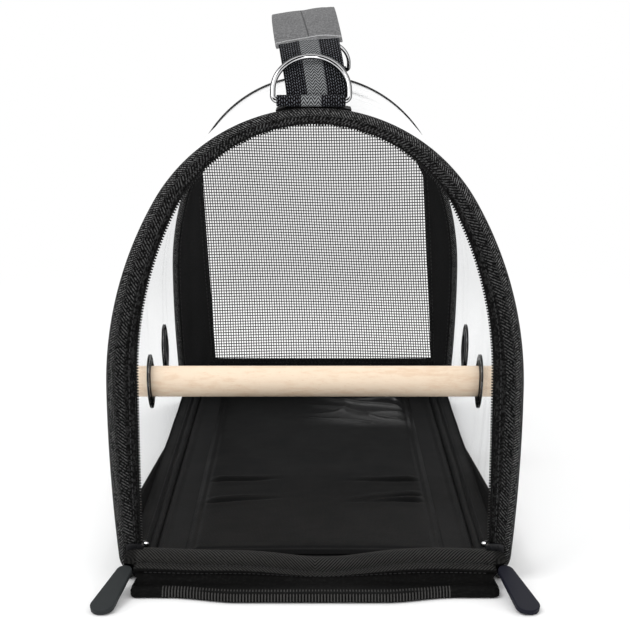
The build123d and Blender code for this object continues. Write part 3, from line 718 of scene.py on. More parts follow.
class Shape:
    """A mesh in the making: points, and faces with a UV pair for each corner, in millimetres."""

    def __init__(self):
        self.points, self.faces, self.uvs, self.count = [], [], [], 0

    def add(self, points, faces, uvs=None, solid=False):
        """Adds points and arrays of faces. A solid that is inside out is turned round."""
        points = np.asarray(points, float).reshape(-1, 3)
        uvs = uvs or [np.zeros((*face.shape, 2)) for face in faces]
        if solid:
            volume = 0.0
            for face in faces:
                for i in range(1, face.shape[1] - 1):
                    a, b, c = points[face[:, [0, i, i + 1]]].swapaxes(0, 1)
                    volume += (a * np.cross(b, c)).sum()
            if volume < 0:
                faces, uvs = [face[:, ::-1] for face in faces], [uv[:, ::-1] for uv in uvs]
        self.faces += [face + self.count for face in faces]
        self.points.append(points)
        self.uvs += uvs
        self.count += len(points)
        return self

    def grid(self, points, uv=None, wrap=(False, False), capped=False, middles=None, keep=None):
        """Adds a grid of points, of whose faces keep may leave out some.

        A wrapped direction joins its last row to the first. Caps close the end rows round
        their middles.
        """
        if capped:
            points, uv = close_ends(points), None if uv is None else close_ends(uv)
        nu, nv = points.shape[:2]
        if uv is None:
            full = np.concatenate([points, points[:1]], 0) if wrap[0] else points
            full = np.concatenate([full, full[:, :1]], 1) if wrap[1] else full
            uv = spread(lengths(full, 0).mean(1)[:, None], lengths(full, 1))
        rows, columns = np.arange(nu - (not wrap[0])), np.arange(nv - (not wrap[1]))
        i, j = np.meshgrid(rows, columns, indexing="ij")
        corners = [(i, j), (i + 1, j), (i + 1, j + 1), (i, j + 1)]
        quads = np.stack([(a % nu) * nv + b % nv for a, b in corners], -1).reshape(-1, 4)
        uvs = np.stack([uv[a % len(uv), b % uv.shape[1]] for a, b in corners], -2).reshape(-1, 4, 2)
        if keep is not None:
            quads, uvs = quads[keep.ravel()], uvs[keep.ravel()]
        faces, all_uvs, flat = [quads], [uvs], points.reshape(-1, 3)
        if capped:
            if middles is None:
                middles = np.stack([points[0].mean(0), points[-1].mean(0)])
            row = np.arange(nv)
            ahead, start, pole = (row + 1) % nv, (nu - 1) * nv, nu * nv
            caps = [spread(pole, ahead, row), spread(pole + 1, row + start, ahead + start)]
            flat = np.vstack([flat, middles])
            faces.append(np.concatenate(caps))
            all_uvs.append(np.zeros((2 * nv, 3, 2)))
        return self.add(flat, faces, all_uvs, capped or all(wrap))

    def tube(self, points, uv=None, middles=None):
        """Adds rings of points as a tube with two caps."""
        return self.grid(points, uv, (False, True), True, middles)

    def repeat(self, template, centres, axes, scale):
        """Adds copies of a unit shape: centre plus its scaled points along a place's axes."""
        points, *faces = template
        placed = centres[:, None] + np.einsum("vk,nkd->nvd", points * scale, axes)
        offset = np.arange(len(centres))[:, None, None] * len(points)
        faces = [(face[None] + offset).reshape(-1, face.shape[1]) for face in faces]
        return self.add(placed, faces, solid=True)

    def object(self, name, material):
        """The finished mesh as a Blender object, in metres."""
        mesh = bpy.data.meshes.new(name)
        points = np.concatenate(self.points) * MM
        corners = np.concatenate([face.ravel() for face in self.faces])
        counts = np.concatenate([np.full(len(face), face.shape[1]) for face in self.faces])
        starts = np.cumsum(counts) - counts
        mesh.vertices.add(len(points))
        mesh.vertices.foreach_set("co", points.astype(np.float32).ravel())
        mesh.loops.add(len(corners))
        mesh.loops.foreach_set("vertex_index", corners.astype(np.int32))
        mesh.polygons.add(len(counts))
        mesh.polygons.foreach_set("loop_start", starts.astype(np.int32))
        mesh.polygons.foreach_set("use_smooth", np.ones(len(counts), bool))
        layer = mesh.uv_layers.new(name="cloth")
        flat = np.concatenate([uv.reshape(-1, 2) for uv in self.uvs]) * MM
        layer.uv.foreach_set("vector", flat.astype(np.float32).ravel())
        mesh.update(calc_edges=True)
        if mesh.validate():
            raise ValueError(f"{name} has broken faces")
        mesh.materials.append(material)
        made = bpy.data.objects.new(name, mesh)
        bpy.context.scene.collection.objects.link(made)
        return made


def piece(shape, name, material, body="shell", slot=None, replaces=(), thickness=0.0):
    """Makes the object of a shape, gives it its thickness, and puts it on its body."""
    made = shape.object(name, material_of(material))
    if thickness:
        wall = made.modifiers.new("wall", "SOLIDIFY")
        wall.thickness, wall.offset, wall.use_even_offset = thickness * MM, 0.0, True
    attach(made, body)
    if replaces:
        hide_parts(*replaces)
    return made


def sheet(made, width, length, held, rests_on=(), odd=False):
    """The cut's area is the mesh's, at most its rectangle's; odd is not used.
    """
    faces = np.empty(len(made.data.polygons))
    made.data.polygons.foreach_get("area", faces)
    layers = 1 if made.modifiers else 2
    cut = min(faces.sum() / layers, width * length * MM * MM)
    flat = (width * MM, length * MM)


def strip_cut(flat):
    """Width and length of the straight strip that a ruled ring of cloth is cut from."""
    return np.linalg.norm(flat[:, -1] - flat[:, 0], axis=1).max(), lengths(flat[:, 0])[-1]


def stitches(shape, path, normal, pitch=None, thread=0.34):
    """Adds a row of stitches: flat beads along a line with gaps between."""
    pitch = pitch or sizes()["stitch_pitch"]
    places = even(path, pitch)
    along = unit(np.gradient(places, axis=0))
    normals = np.broadcast_to(normal, places.shape)
    axes = np.stack([along, np.cross(normals, along), normals], 1)
    return shape.repeat(bead(), places, axes, np.array([pitch * 0.36, thread, thread * 0.8]))


def teeth(shape, line, place, side, depth_axis, centre, half):
    """Adds zipper teeth: blunt beads that point out of an arch's line, one for each pitch.

    side is 1 outwards and -1 inwards, centre is a tooth's distance from the line, and half
    holds its half sizes: out of the line, along it as a share of the pitch, and in depth.
    """
    pitch = sizes()["tooth_pitch"]
    spots = even(line, pitch)
    out = outward(spots) * side
    ahead = unit(np.gradient(spots, axis=0))
    pointing, along = (place(spots + step) - place(spots) for step in (out, ahead))
    axes = np.stack([pointing, along, np.broadcast_to(depth_axis, along.shape)], 1)
    reach, share, thick = half
    scale = np.array([reach, pitch * share, thick])
    return shape.repeat(bead(3, 8, 0.6), place(spots + out * centre), axes, scale)


# --- Shell pieces -----------------------------------------------------------------
def grommet_places():
    """Centre, outward normal, and two directions along the wall, of the four perch holes."""
    s = sizes()
    level = centre_of("perch")[2]
    reach = s["side_radius"] - FILM_INSET
    tilt = np.arcsin((s["widest_level"] - level) / reach)
    x = s["half_width"] - s["side_radius"] + reach * np.cos(tilt)
    return [
        (
            np.array([side * x, FRONT + share * LENGTH, level]),
            np.array([side * np.cos(tilt), 0, -np.sin(tilt)]),
            Y_AXIS,
            np.array([side * np.sin(tilt), 0, np.cos(tilt)]),
        )
        for share in PERCH_SHARES
        for side in (-1, 1)
    ]


def film_piece():
    """The clear tunnel: an arch's line run from front to rear, with shallow dents and holes.

    A dent is a product of slow sine waves along and across. A point nearer than reach to a hole's
    centre moves straight away from it, from r to hole + r * (reach - hole) / reach.
    """
    low, high = extent("clear_tunnel")
    line = even(shell_arch().line(FILM_INSET, low[2]), 3.0)
    y = np.linspace(low[1], high[1], 133)
    points = upright(line[:, None], y[None])
    run = lengths(line)[:, None]
    share = np.clip((y - low[1]) / (high[1] - low[1]), 0, 1)[None]
    dent = 0.9 * np.sin(y / 47 + 0.8)[None] * np.sin(run / 61 + 0.4)
    dent = dent + 0.45 * np.sin(y / 21)[None] * np.sin(run / 90 + 2.0)
    foot_fade = 40
    dent = dent * np.sin(np.pi * share) ** 0.6
    dent = dent * smooth(run, 0, foot_fade) * smooth(run[-1] - run, 0, foot_fade)
    centres = [place[0] for place in grommet_places()]
    for centre in centres:
        dent = dent * smooth(np.linalg.norm(points - centre, axis=-1), 22, 45)
    points = points + upright(outward(line), 0.0)[:, None] * dent[..., None]
    hole, reach, cut = 13.7, 18.0, 9.0
    keep = np.ones((len(line) - 1, len(y) - 1), bool)
    for centre in centres:
        away = points - centre
        gap = np.linalg.norm(away, axis=-1, keepdims=True)
        corners = (gap[:-1, :-1], gap[1:, 1:], gap[1:, :-1], gap[:-1, 1:])
        keep &= sum(corners)[..., 0] / 4 > cut
        moved = centre + away / np.maximum(gap, 0.5) * (hole + gap * (reach - hole) / reach)
        points = np.where(gap < reach, moved, points)
    shape = Shape().grid(points, keep=keep)
    made = piece(shape, "clear_film", "clear_film", replaces=["clear_tunnel"], thickness=0.4)
    wires = ["front_frame_wire", "rear_frame_wire"]
    sheet(made, lengths(line)[-1], high[1] - low[1], "stretched", wires)


def lathe(shape, place, profile, sides=56):
    """Adds a profile of radius and height turned about a place's normal."""
    centre, normal, first, second = place
    cos, sin = circle(sides).T[..., None, None]
    radial = cos * first + sin * second
    points = centre + profile[None, :, :1] * radial + profile[None, :, 1:] * normal
    return shape.grid(points, wrap=(True, True))


def grommet_pieces():
    """Metal eyelets and the rubber grommets in them: profiles turned about the perch holes."""
    # Upper halves of the profiles, as radius and height above the film's middle.
    eyelet = [(13.25, 0.32), (17.6, 0.32), (18.4, 0.42), (18.5, 0.58), (18.3, 0.74)]
    eyelet += [(17.4, 0.82), (14.0, 0.84), (13.1, 0.82), (12.7, 0.6)]
    grommet = [(12.35, 0.9), (14.0, 0.9), (14.5, 0.95), (14.6, 1.1), (14.4, 1.25)]
    grommet += [(13.8, 1.32), (12.7, 1.35), (11.7, 1.28), (11.0, 1.1), (10.84, 0.7)]
    rings = (
        ("eyelets", eyelet, "dark_nickel", "black_metal", "eyelet_rings"),
        ("grommets", grommet, "black_rubber", "black_rubber", "wall_grommets"),
    )
    for name, half, material, slot, node in rings:
        profile = np.vstack([half, np.array(half)[::-1] * (1, -1)])
        shape = Shape()
        for place in grommet_places():
            lathe(shape, place, profile)
        piece(shape, name, material, slot=slot, replaces=[node])


def piping_pieces():
    """Corded edges: a round profile carried along each hoop and both edges of the base."""
    radius = sizes()["piping"]
    foot = extent("front_piping")[0][2] + radius
    hoop = closed_line(shell_arch().line(radius, foot, 9.0), 60)
    for name, y in (("front_piping", FRONT + radius), ("rear_piping", REAR - radius)):
        path = upright(even(hoop, closed=True), y)
        rings = sweep(path, radius * circle(14), Y_AXIS, closed=True)
        shape = Shape().grid(rings, wrap=(True, True))
        piece(shape, name + "_tape", "black_binding", replaces=[name])
    for name in ("left_base_piping", "right_base_piping"):
        low, high = extent(name)
        y = np.linspace(low[1], high[1], 134)
        path = spread(centre_of(name)[0], y, high[2] - radius)
        points = sweep(path, radius * circle(16), X_AXIS)
        points[..., 2] = np.maximum(points[..., 2], low[2])
        piece(Shape().tube(points), name + "_tape", "black_binding", replaces=[name])


def band_pieces():
    """Front band between hoop and zipper: ruled from line to line, bowed forwards between seams."""
    low = extent("front_band")[0][2]
    middle = centre_of("front_band")[1]
    outer = even(shell_arch().line(4.2, low - 0.3, 6.9), count=420)
    inner = even(mouth_arch().line(0.0, low), count=420)
    shares = np.linspace(0, 1, 15)
    flat = ruled(outer, inner, shares)
    seam_share = 0.72
    bow = 0.75 * np.sin(np.pi * np.clip(shares / seam_share, 0, 1))
    bow += 0.30 * np.sin(np.pi * np.clip((shares - seam_share) / (1 - seam_share), 0, 1))
    shape = Shape().grid(upright(flat, middle - 0.1 - bow[None]))
    band = piece(
        shape, "front_band_tape", "band_tape", slot="black_binding", replaces=["front_band"],
        thickness=1.3,
    )
    sheet(band, *strip_cut(flat), "stretched", ["front_frame_wire"], odd=True)
    rows = Shape()
    for share in (0.06, 0.74):
        row = upright(outer * (1 - share) + inner * share, middle - 0.95)
        stitches(rows, row, -Y_AXIS)
    piece(rows, "front_band_stitches", "thread", slot="black_binding")


def sill_piece():
    """Folded sill under the mouth: a flat profile carried across, lower in the middle."""
    low, high = extent("front_sill")
    _, y, level = centre_of("front_sill")
    path = spread(np.linspace(low[0], high[0], 96), y, level)
    profile = slab_profile(high[1] - low[1], high[2] - low[2], 24, 0.4)[:, ::-1] * (-1, 1)
    points = sweep(path, profile, Y_AXIS)
    points[..., 2] -= 0.55 * (points[..., 2] - low[2]) * bell(points[..., 0], 36.0)
    sill = piece(Shape().tube(points), "front_sill_tape", "black_nylon", replaces=["front_sill"])
    sheet(sill, 10.1, high[0] - low[0], "folded", ["front_band_tape"], odd=True)


def frame_zipper_piece():
    """Frame half of the zipper: teeth along the mouth and the cord that they are sewn to."""
    foot = extent("frame_zipper_coil")[0][2]
    y = centre_of("frame_zipper_coil")[1]
    mouth = mouth_arch()

    def place(spots):
        """Stands flat spots up at the zipper's depth."""
        return upright(spots, y)

    shape = teeth(
        Shape(), mouth.line(0.1, foot + 0.6), place, -1, Y_AXIS, centre=1.1, half=(1.1, 0.31, 1.0)
    )
    cord = place(even(mouth.line(0.7, foot + 0.3)))
    shape.tube(sweep(cord, 0.62 * circle(8), Y_AXIS))
    piece(shape, "frame_zipper_teeth", "zipper_plastic", replaces=["frame_zipper_coil"])


# --- Rear panel -------------------------------------------------------------------
def lean_window(line):
    """Shears the window: its foot lies to the right and its crown to the left."""
    foot_shift, lean = 6.9, 0.059
    return spread(line[..., 0] + foot_shift - lean * (line[..., 1] - WINDOW_SILL), line[..., 1])


def rear_pieces():
    """Rear border, which is ruled from the hoop to the window and has fine folds, and its seams."""
    low = extent("rear_panel_border")[0][2]
    y = centre_of("rear_panel_border")[1]
    arch = shell_arch()
    window = arch.line(12.0, WINDOW_SILL)
    window[:, 0] = np.clip(window[:, 0], -87.5, 87.5)
    over_count, foot_count = 360, 110
    inner = lean_window(closed_line(even(window, count=over_count), foot_count))
    outer = closed_line(even(arch.line(4.3, low - 0.2, 6.8), count=over_count), foot_count)
    shares = np.linspace(0, 1, 13)
    flat = ruled(outer, inner, shares)
    run = lengths(inner)[:, None]
    swing = np.sin(np.pi * shares)[None]
    ripple = 0.55 * np.sin(run / 6.1 + 4.0 * shares[None]) + 0.5 * np.sin(run / 19.0 + 1.0)
    pleats = 0.5 * np.sin(flat[..., 0] / 1.9) * smooth(abs(flat[..., 0]), 70, 84)
    points = upright(flat, y + swing * (0.35 * ripple - pleats))
    border = piece(
        Shape().grid(points, wrap=(True, False)),
        "rear_border_cloth", "black_nylon", replaces=["rear_panel_border"], thickness=0.9,
    )
    sheet(border, *strip_cut(flat), "stretched", ["rear_frame_wire"], odd=True)
    seam = np.vstack([inner, inner[:1]])
    window_middle = np.array([6.0, 140.0])
    hoop_seam = even(arch.line(6.0, low + 2.0, 6.0), 1.0)
    rows = Shape()
    for move in (1.2, 3.6):
        window_seam = even(seam + unit(seam - window_middle) * move, 1.0)
        for face in (-1, 1):
            stitches(rows, upright(window_seam, y + face * 0.62), face * Y_AXIS)
    for face in (-1, 1):
        stitches(rows, upright(hoop_seam, y + face * 0.55), face * Y_AXIS)
    piece(rows, "rear_border_stitches", "thread", slot="black_nylon")


def strands(shape, paths, width, axis):
    """Adds many square threads at once: four corners about each path, with closed ends."""
    count, steps = paths.shape[:2]
    side = unit(np.cross(np.gradient(paths, axis=1), axis))
    corners = np.array([(1, 0), (0, 1), (-1, 0), (0, -1)]) * width / 2
    flatness = 0.8
    points = paths[:, :, None] + corners[:, :1] * side[:, :, None]
    points = points + corners[:, 1:] * flatness * axis
    row = np.arange(4)
    ahead = (row + 1) % 4
    step = np.arange(steps - 1)[:, None] * 4
    quads = np.stack([step + row, step + ahead, step + 4 + ahead, step + 4 + row], -1)
    quads = np.vstack([quads.reshape(-1, 4), row[::-1], row + (steps - 1) * 4])
    offset = np.arange(count)[:, None, None] * steps * 4
    return shape.add(points, [(quads[None] + offset).reshape(-1, 4)], solid=True)


def net_threads(outline, low, half, margin, place, axis, widest=np.inf):
    """Upright and level threads that cross inside an outline, moved together by slow waves."""
    s = sizes()
    share = np.linspace(0, 1, 36)[None]
    right = outline[: len(outline) // 2 + 1]
    shape = Shape()

    def weave(x, level, lift):
        """Adds threads through spots that are moved by one slow sine across and one in level."""
        sway = 1.1 * np.sin(level / 41.0 + x / 53.0)
        dip = 0.9 * np.sin(x / 37.0 + level / 61.0 + 1.0)
        paths = place(spread(x + sway, level + dip), lift)
        strands(shape, paths, s["net_thread"], axis)

    x = np.arange(-half + s["net_pitch"] / 2, half, s["net_pitch"])[:, None]
    top = np.interp(abs(x), right[::-1, 0], right[::-1, 1]) - margin
    keep = (top > low + s["net_pitch"])[:, 0]
    x, top = x[keep], top[keep]
    weave(x, low + (top - low) * share, -0.16)
    level = np.arange(low + s["net_rise"] / 2, outline[:, 1].max(), s["net_rise"])[:, None]
    side = np.minimum(widest, np.interp(level, right[:, 1], right[:, 0]) - margin)
    keep = (side > s["net_pitch"])[:, 0]
    level, side = level[keep], side[keep]
    weave(side * (2 * share - 1), level, 0.16)
    return shape


def rear_net_piece():
    """The rear net: threads kept inside the window and its seam."""
    low, high = extent("rear_mesh")
    y = centre_of("rear_mesh")[1] + 0.5
    half = 90.5

    def place(spots, lift):
        """Shears flat spots with the window and stands them up at the net's depth plus lift."""
        return upright(lean_window(spots), y + lift)

    outline = shell_arch().line(9.5, 20.0)
    shape = net_threads(outline, 31.5, half, 0.2, place, Y_AXIS, widest=half)
    net = piece(shape, "rear_net", "black_mesh", replaces=["rear_mesh"])
    sheet(net, 2 * half, high[2] - low[2], "stretched", ["rear_border_cloth"], odd=True)


# --- Floor ------------------------------------------------------------------------
def cover_piece():
    """Flat cloth under the board."""
    low, high = extent("bottom_cover")
    x, y = np.linspace(low[0], high[0], 60), np.linspace(low[1], high[1], 110)
    shape = Shape().grid(spread(x[:, None], y[None], centre_of("bottom_cover")[2]))
    cover = piece(
        shape, "bottom_cover_cloth", "black_nylon", replaces=["bottom_cover"], thickness=0.7
    )
    sheet(cover, high[0] - low[0], high[1] - low[1], "stretched", ["floor_board"])


def liner_piece():
    """Cloth over the board: a bell-shaped cord and a groove along each side, and soft waves."""
    low, high = extent("floor_liner")
    x, y = np.linspace(low[0], high[0], 139)[:, None], np.linspace(low[1], high[1], 200)[None]
    cord = 1.1 * bell(abs(x) - 88.9, 1.1)
    groove = -0.25 * bell(abs(x) - 86.2, 0.8)
    waves = 0.12 * np.sin(x / 13.0 + y / 29.0) * np.sin(y / 17.0)
    beside_mat = abs(x) > 72
    level = low[2] + 0.32 + cord + (groove + waves) * beside_mat
    liner = piece(
        Shape().grid(spread(x, y, level)),
        "floor_liner_cloth", "black_nylon", replaces=["floor_liner"], thickness=0.5,
    )
    sheet(liner, high[0] - low[0], high[1] - low[1], "laid", ["floor_board"])


def floor_band_piece(side, name, seams):
    """Padded band along the foot of the film: two rolls and a hollow between, with soft waves."""
    low, high = extent(name)
    inner, outer = sorted((abs(low[0]), abs(high[0])))
    width, foot = outer - inner, low[2]
    section = [(0.2, 0.1), (0.0, 1.6), (0.5, 3.4), (2.0, 4.5), (3.6, 4.3), (4.3, 3.5), (5.0, 3.3)]
    section += [(5.8, 4.1), (8.0, 4.9), (10.5, 5.0), (12.6, 5.3), (width - 0.5, 6.6)]
    section += [(width - 0.1, 5.5), (width - 0.2, 2.5), (width - 0.8, 0.1), (7.0, 0.0)]
    across, level = spline(section, closed=True).T[:, None]
    y = np.linspace(low[1], high[1], 160)
    wave = 0.25 * np.sin(y / 11.0)[:, None] * np.sin(across / 3.0)
    wave = wave + 0.2 * np.sin(y / 31.0 + 1)[:, None]
    raised = foot + level + wave * smooth(level, 1.0, 4.0)
    shape = Shape().tube(spread(side * (inner + across), y[:, None], raised))
    piece(shape, name + "_cloth", "black_nylon", replaces=[name])
    stitches(seams, spread(side * (inner + 6.6), y, foot + 4.9), Z_AXIS)
    stitches(seams, spread(side * 90.6, y, extent("floor_liner")[1][2] + 0.25), Z_AXIS)


def skirt_piece(side, name, seams):
    """Lining up the foot of the film: it follows the film's arc and is lower to the rear."""
    s = sizes()
    low, high = extent("left_floor_band")
    y = np.linspace(low[1] + 1.5, high[1] - 3.0, 150)[:, None]
    foot = low[2] + 0.8
    top = np.clip(32.3 - 0.098 * (y - FRONT), 8.0, 27.0)
    level = foot + (top - foot) * np.linspace(0, 1, 9)[None]
    reach = s["side_radius"] - FILM_INSET - 1.0
    x = s["half_width"] - s["side_radius"] + np.sqrt(reach**2 - (s["widest_level"] - level) ** 2)
    grid = spread(side * x, y, level)
    skirt = piece(Shape().grid(grid), name, "black_nylon", thickness=0.8)
    width = (top - low[2]).max()
    sheet(skirt, width, (high - low)[1], "stretched", ["clear_film"], odd=True)
    stitches(seams, grid[:, -2] - (side * 0.45, 0, 0), -side * X_AXIS, 2.4, 0.3)


def floor_pieces():
    """Under cover, liner with a corded edge, and the bands and lining at the foot of the film."""
    cover_piece()
    liner_piece()
    seams = Shape()
    for side, name in ((-1, "left_floor"), (1, "right_floor")):
        floor_band_piece(side, name + "_band", seams)
        skirt_piece(side, name + "_skirt", seams)
    piece(seams, "floor_stitches", "thread", slot="black_nylon")


def mat_folds(depth, x):
    """Cross folds: bell-shaped furrows that slant over the mat and fade out to its middle.

    A furrow is a deep bell with a roll behind it and a low one before it.
    """
    sides = smooth(abs(x), 8, 70)
    lines = ((115, 0.10, 1), (112, -0.16, -1), (159, 0.12, 1), (157, -0.05, -1), (128, 0.35, 1))
    folds = 0.0
    for place, lean, side in lines:
        share = smooth(side * x, -12, 40) * sides
        for height, shift, width in ((-2.1, 0.0, 2.2), (1.2, 5.5, 3.4), (0.5, -6.0, 4.0)):
            folds += height * share * bell(depth - place - shift - lean * (abs(x) - 70), width)
    return folds


def mat_wrinkles(depth, x):
    """Loose wrinkles at the mat's rear right: two slanted families of sharp sine ridges."""
    rear = smooth(depth, 284, 312) * smooth(x, -25, 35)
    bend = x + 5.0 * np.sin(depth / 7.0) + 6.0 * np.sin(x / 9.0 + depth / 15.0)
    long_ridges = 2.2 * (1 - abs(np.sin((depth * 0.9 + 0.5 * bend) / 9.0))) ** 2.2
    cross_ridges = 1.5 * (1 - abs(np.sin((depth * 0.6 - 0.8 * bend) / 12.0))) ** 2.0
    return rear * (long_ridges + cross_ridges)


def mat_piece():
    """The mat: a thin pad with rolled edges, cross folds, and loose wrinkles at its rear."""
    low, high = extent("mat")
    half, length = (high[0] - low[0]) / 2, high[1] - low[1]
    across, share = np.linspace(-1, 1, 151)[:, None], np.linspace(0, 1, 373)[None]
    x, along = np.broadcast_arrays(across * half, share * length)
    depth = along + low[1] - FRONT
    edge = np.minimum(half - abs(x), np.minimum(along, length - along))
    pad = 2.6 + 1.1 * (1 - across**2)
    top = pad * (1 - np.exp(-((edge / 3.2) ** 0.8))) * smooth(edge, -0.5, 2.0)
    seam = -0.55 * bell(edge - 5.2, 1.0)
    soft = 0.35 * np.sin(x / 19.0 + depth / 41.0) * np.sin(depth / 33.0 + 0.6)
    soft = soft + 0.15 * np.sin(x / 7.0 + depth / 15.0)
    relief = (mat_folds(depth, x) + mat_wrinkles(depth, x) + soft) * smooth(edge, 5.0, 14.0)
    least = 0.5
    upper = spread(x, low[1] + along, low[2] + np.maximum(top + seam + relief, least))
    lower = spread(x, low[1] + along, low[2])
    rim = np.concatenate([upper[:, 0], upper[-1, 1:], upper[-2::-1, -1], upper[0, -2:0:-1]])
    rim_low = rim * (1, 1, 0) + (0, 0, low[2])
    flat_uv = spread(along, x)
    shape = Shape().grid(upper[::-1], uv=flat_uv[::-1]).grid(lower, uv=flat_uv)
    shape.grid(np.stack([rim, rim_low], 1), wrap=(True, False))
    made = piece(shape, "mat_pad", "mat_nylon", body="mat", slot="black_nylon", replaces=["mat"])
    weld = made.modifiers.new("seam", "WELD")
    weld.merge_threshold = 0.01 * MM


# --- Handle -----------------------------------------------------------------------
LAP_SLANT = 0.035  # how fast the wrap's overlap seam crosses the grip


def handle_line(start_angle):
    """The handle's middle line from a slope near its front end, as depths and levels.

    It is a bend, a flatter arc and the level top, and then their mirror image.
    """
    rise, bend = np.radians(75.0), 25.0
    start = np.array([7.5, extent("front_ring_tab")[0][2] + 1.9])
    top = extent("handle_sleeve")[1][2] - 3.1
    cos, sin = np.cos(np.radians(bend)), np.sin(np.radians(bend))
    radius = 0.695 * (top - start[1]) / (cos - np.cos(rise))
    centre = start + radius * np.array([np.sin(rise), -np.cos(rise)])
    first = arc(centre, radius, 90 + start_angle, 90 + bend, 1.0)
    flat_radius = (top - first[-1, 1]) / (1 - cos)
    flat_centre = (first[-1, 0] + flat_radius * sin, top - flat_radius)
    front = joined(first, arc(flat_centre, flat_radius, 90 + bend, 90))
    rear = front[::-1] * (-1, 1) + (LENGTH, 0)
    return even(joined(front, rear), 1.5)


def along_middle(line, x=0.0):
    """A line of depth and level stood in an upright plane at x."""
    return spread(x, FRONT + line[:, 0], line[:, 1])


def leaned(points):
    """Leans the handle: with height it shifts to the left and rolls, its right edge higher."""
    s = sizes()
    foot, top = extent("front_ring_tab")[1][2], extent("handle_sleeve")[1][2]
    height = np.clip((points[..., 2] - foot) / (top - foot), 0, 1.05)
    foot_shift = 1.2
    moved = points.copy()
    moved[..., 2] += (points[..., 0] - s["strap_width"] / 2) * np.tan(s["handle_tilt"]) * height
    moved[..., 0] += foot_shift - (s["handle_lean"] + foot_shift) * height**1.2
    return moved


def ribbon(path, thickness, width, sides=40):
    """Points of a flat band carried along a path in an upright plane, and its UV."""
    profile = slab_profile(thickness, width, sides)
    across = np.append(profile[:, 1], profile[0, 1])
    return sweep(path, profile, X_AXIS), spread(lengths(path)[:, None], across[None])


def strap_piece():
    """Webbing strap: a flat profile carried along the handle's line."""
    path = along_middle(handle_line(75.0))
    width = sizes()["strap_width"]
    points, uv = ribbon(path, 2.3, width)
    shape = Shape().tube(leaned(points), uv)
    strap = piece(shape, "handle_webbing", "black_webbing", replaces=["handle_strap"])
    patches = ["front_handle_patch", "rear_handle_patch"]
    sheet(strap, width, lengths(path)[-1], "stretched", patches)


def grip_piece():
    """Wrap of the grip: a fuller profile, with an overlap seam, soft dents and scooped ends."""
    path = along_middle(handle_line(26.8))
    run = lengths(path)[:, None]
    profile = slab_profile(6.0, LOOP_WIDTH, 168, 0.3)
    through, across = profile.T[:, None]
    from_end = np.minimum(run, run[-1] - run)
    plump = 0.58 + 0.42 * smooth(from_end, 0.0, 11.0)
    points = sweep(path, spread(through * plump, across), X_AXIS)
    seam = 0.9 - LAP_SLANT * run
    overlap = 0.7 * smooth(across - seam, -0.3, 0.3) * smooth(-through, 0, 1.0)
    overlap = overlap * (1 - smooth(run, 60.0, 70.0)) * (1 - smooth(across, 10.0, 17.0))
    soft = 0.3 * np.sin(run / 9.0) * np.sin(across / 6.0)
    step = unit(np.gradient(path, axis=0))[:, None]
    out = np.cross(step, X_AXIS) * np.sign(through)[..., None]
    points = points + out * (overlap + soft)[..., None]
    scoop = 2.7 * (1 - (across / (LOOP_WIDTH / 2)) ** 2) + 0.07 * across
    scoop = scoop * (1 - smooth(from_end, 0.0, 16.0)) * np.where(run < run[-1] / 2, 1, -1)
    points = points + step * scoop[..., None]
    uv = spread(from_end, np.append(across, across[:, :1], 1))
    piece(
        Shape().tube(leaned(points), uv), "grip_wrap", "grey_wrap", replaces=["handle_sleeve"]
    )


def loop_piece(end, name):
    """Webbing loop: a flat tail and a turn round the ring's bar."""
    x = centre_of(f"{name}_d_ring")[0]
    depth = 2.3 if end > 0 else LENGTH - 2.3
    bar = np.array([depth, extent(f"{name}_ring_tab")[1][2] - 3.1])
    turn = arc((0, 0), TAB_BAR, -90, -405, 0.5) * (end, 1) + bar
    tail = np.linspace((bar[0] + end * 15.8, bar[1] - TAB_BAR), turn[0], 14)
    line = joined(tail, turn)
    points, uv = ribbon(along_middle(line, x), 1.25, LOOP_WIDTH, 36)
    shape = Shape().tube(points, uv)
    tab = piece(shape, f"{name}_loop", "black_webbing", replaces=[f"{name}_ring_tab"])
    sheet(tab, LOOP_WIDTH, lengths(line)[-1], "folded", [f"{name}_d_ring"])


def patch_piece(name):
    """Patch on the crown: it follows the arch, with rolled edges and a furrow at its seam."""
    low, high = extent(f"{name}_handle_patch")
    over = shell_arch().line(-0.15, 200.0)
    over = even(over[(over[:, 0] > low[0]) & (over[:, 0] < high[0])], count=36)
    y = np.linspace(low[1], high[1], 24)
    grid = upright(over[:, None], y[None])
    near_side = np.minimum(over[:, 0] - low[0], high[0] - over[:, 0])[:, None]
    near = np.minimum(near_side, np.minimum(y - low[1], high[1] - y)[None])
    seam_inset = 3.0
    grid[..., 2] += 0.35 * smooth(near, 0, seam_inset) - 0.3 * bell(near - seam_inset, 0.7)
    patch = piece(
        Shape().grid(grid), f"{name}_patch_cloth", "black_nylon",
        replaces=[f"{name}_handle_patch"], thickness=0.9,
    )
    sheet(patch, high[0] - low[0], high[1] - low[1], "stretched", ["clear_film"])


def handle_pieces():
    """Webbing strap, the wrap of the grip, and the loops and patches at both ends."""
    strap_piece()
    grip_piece()
    for end, name in ((1, "front"), (-1, "rear")):
        loop_piece(end, name)
        patch_piece(name)


# --- Door -------------------------------------------------------------------------
STRIP_CORE = np.array([(-12.4, 7.0)])  # depth and level of the middle of the strip's ends


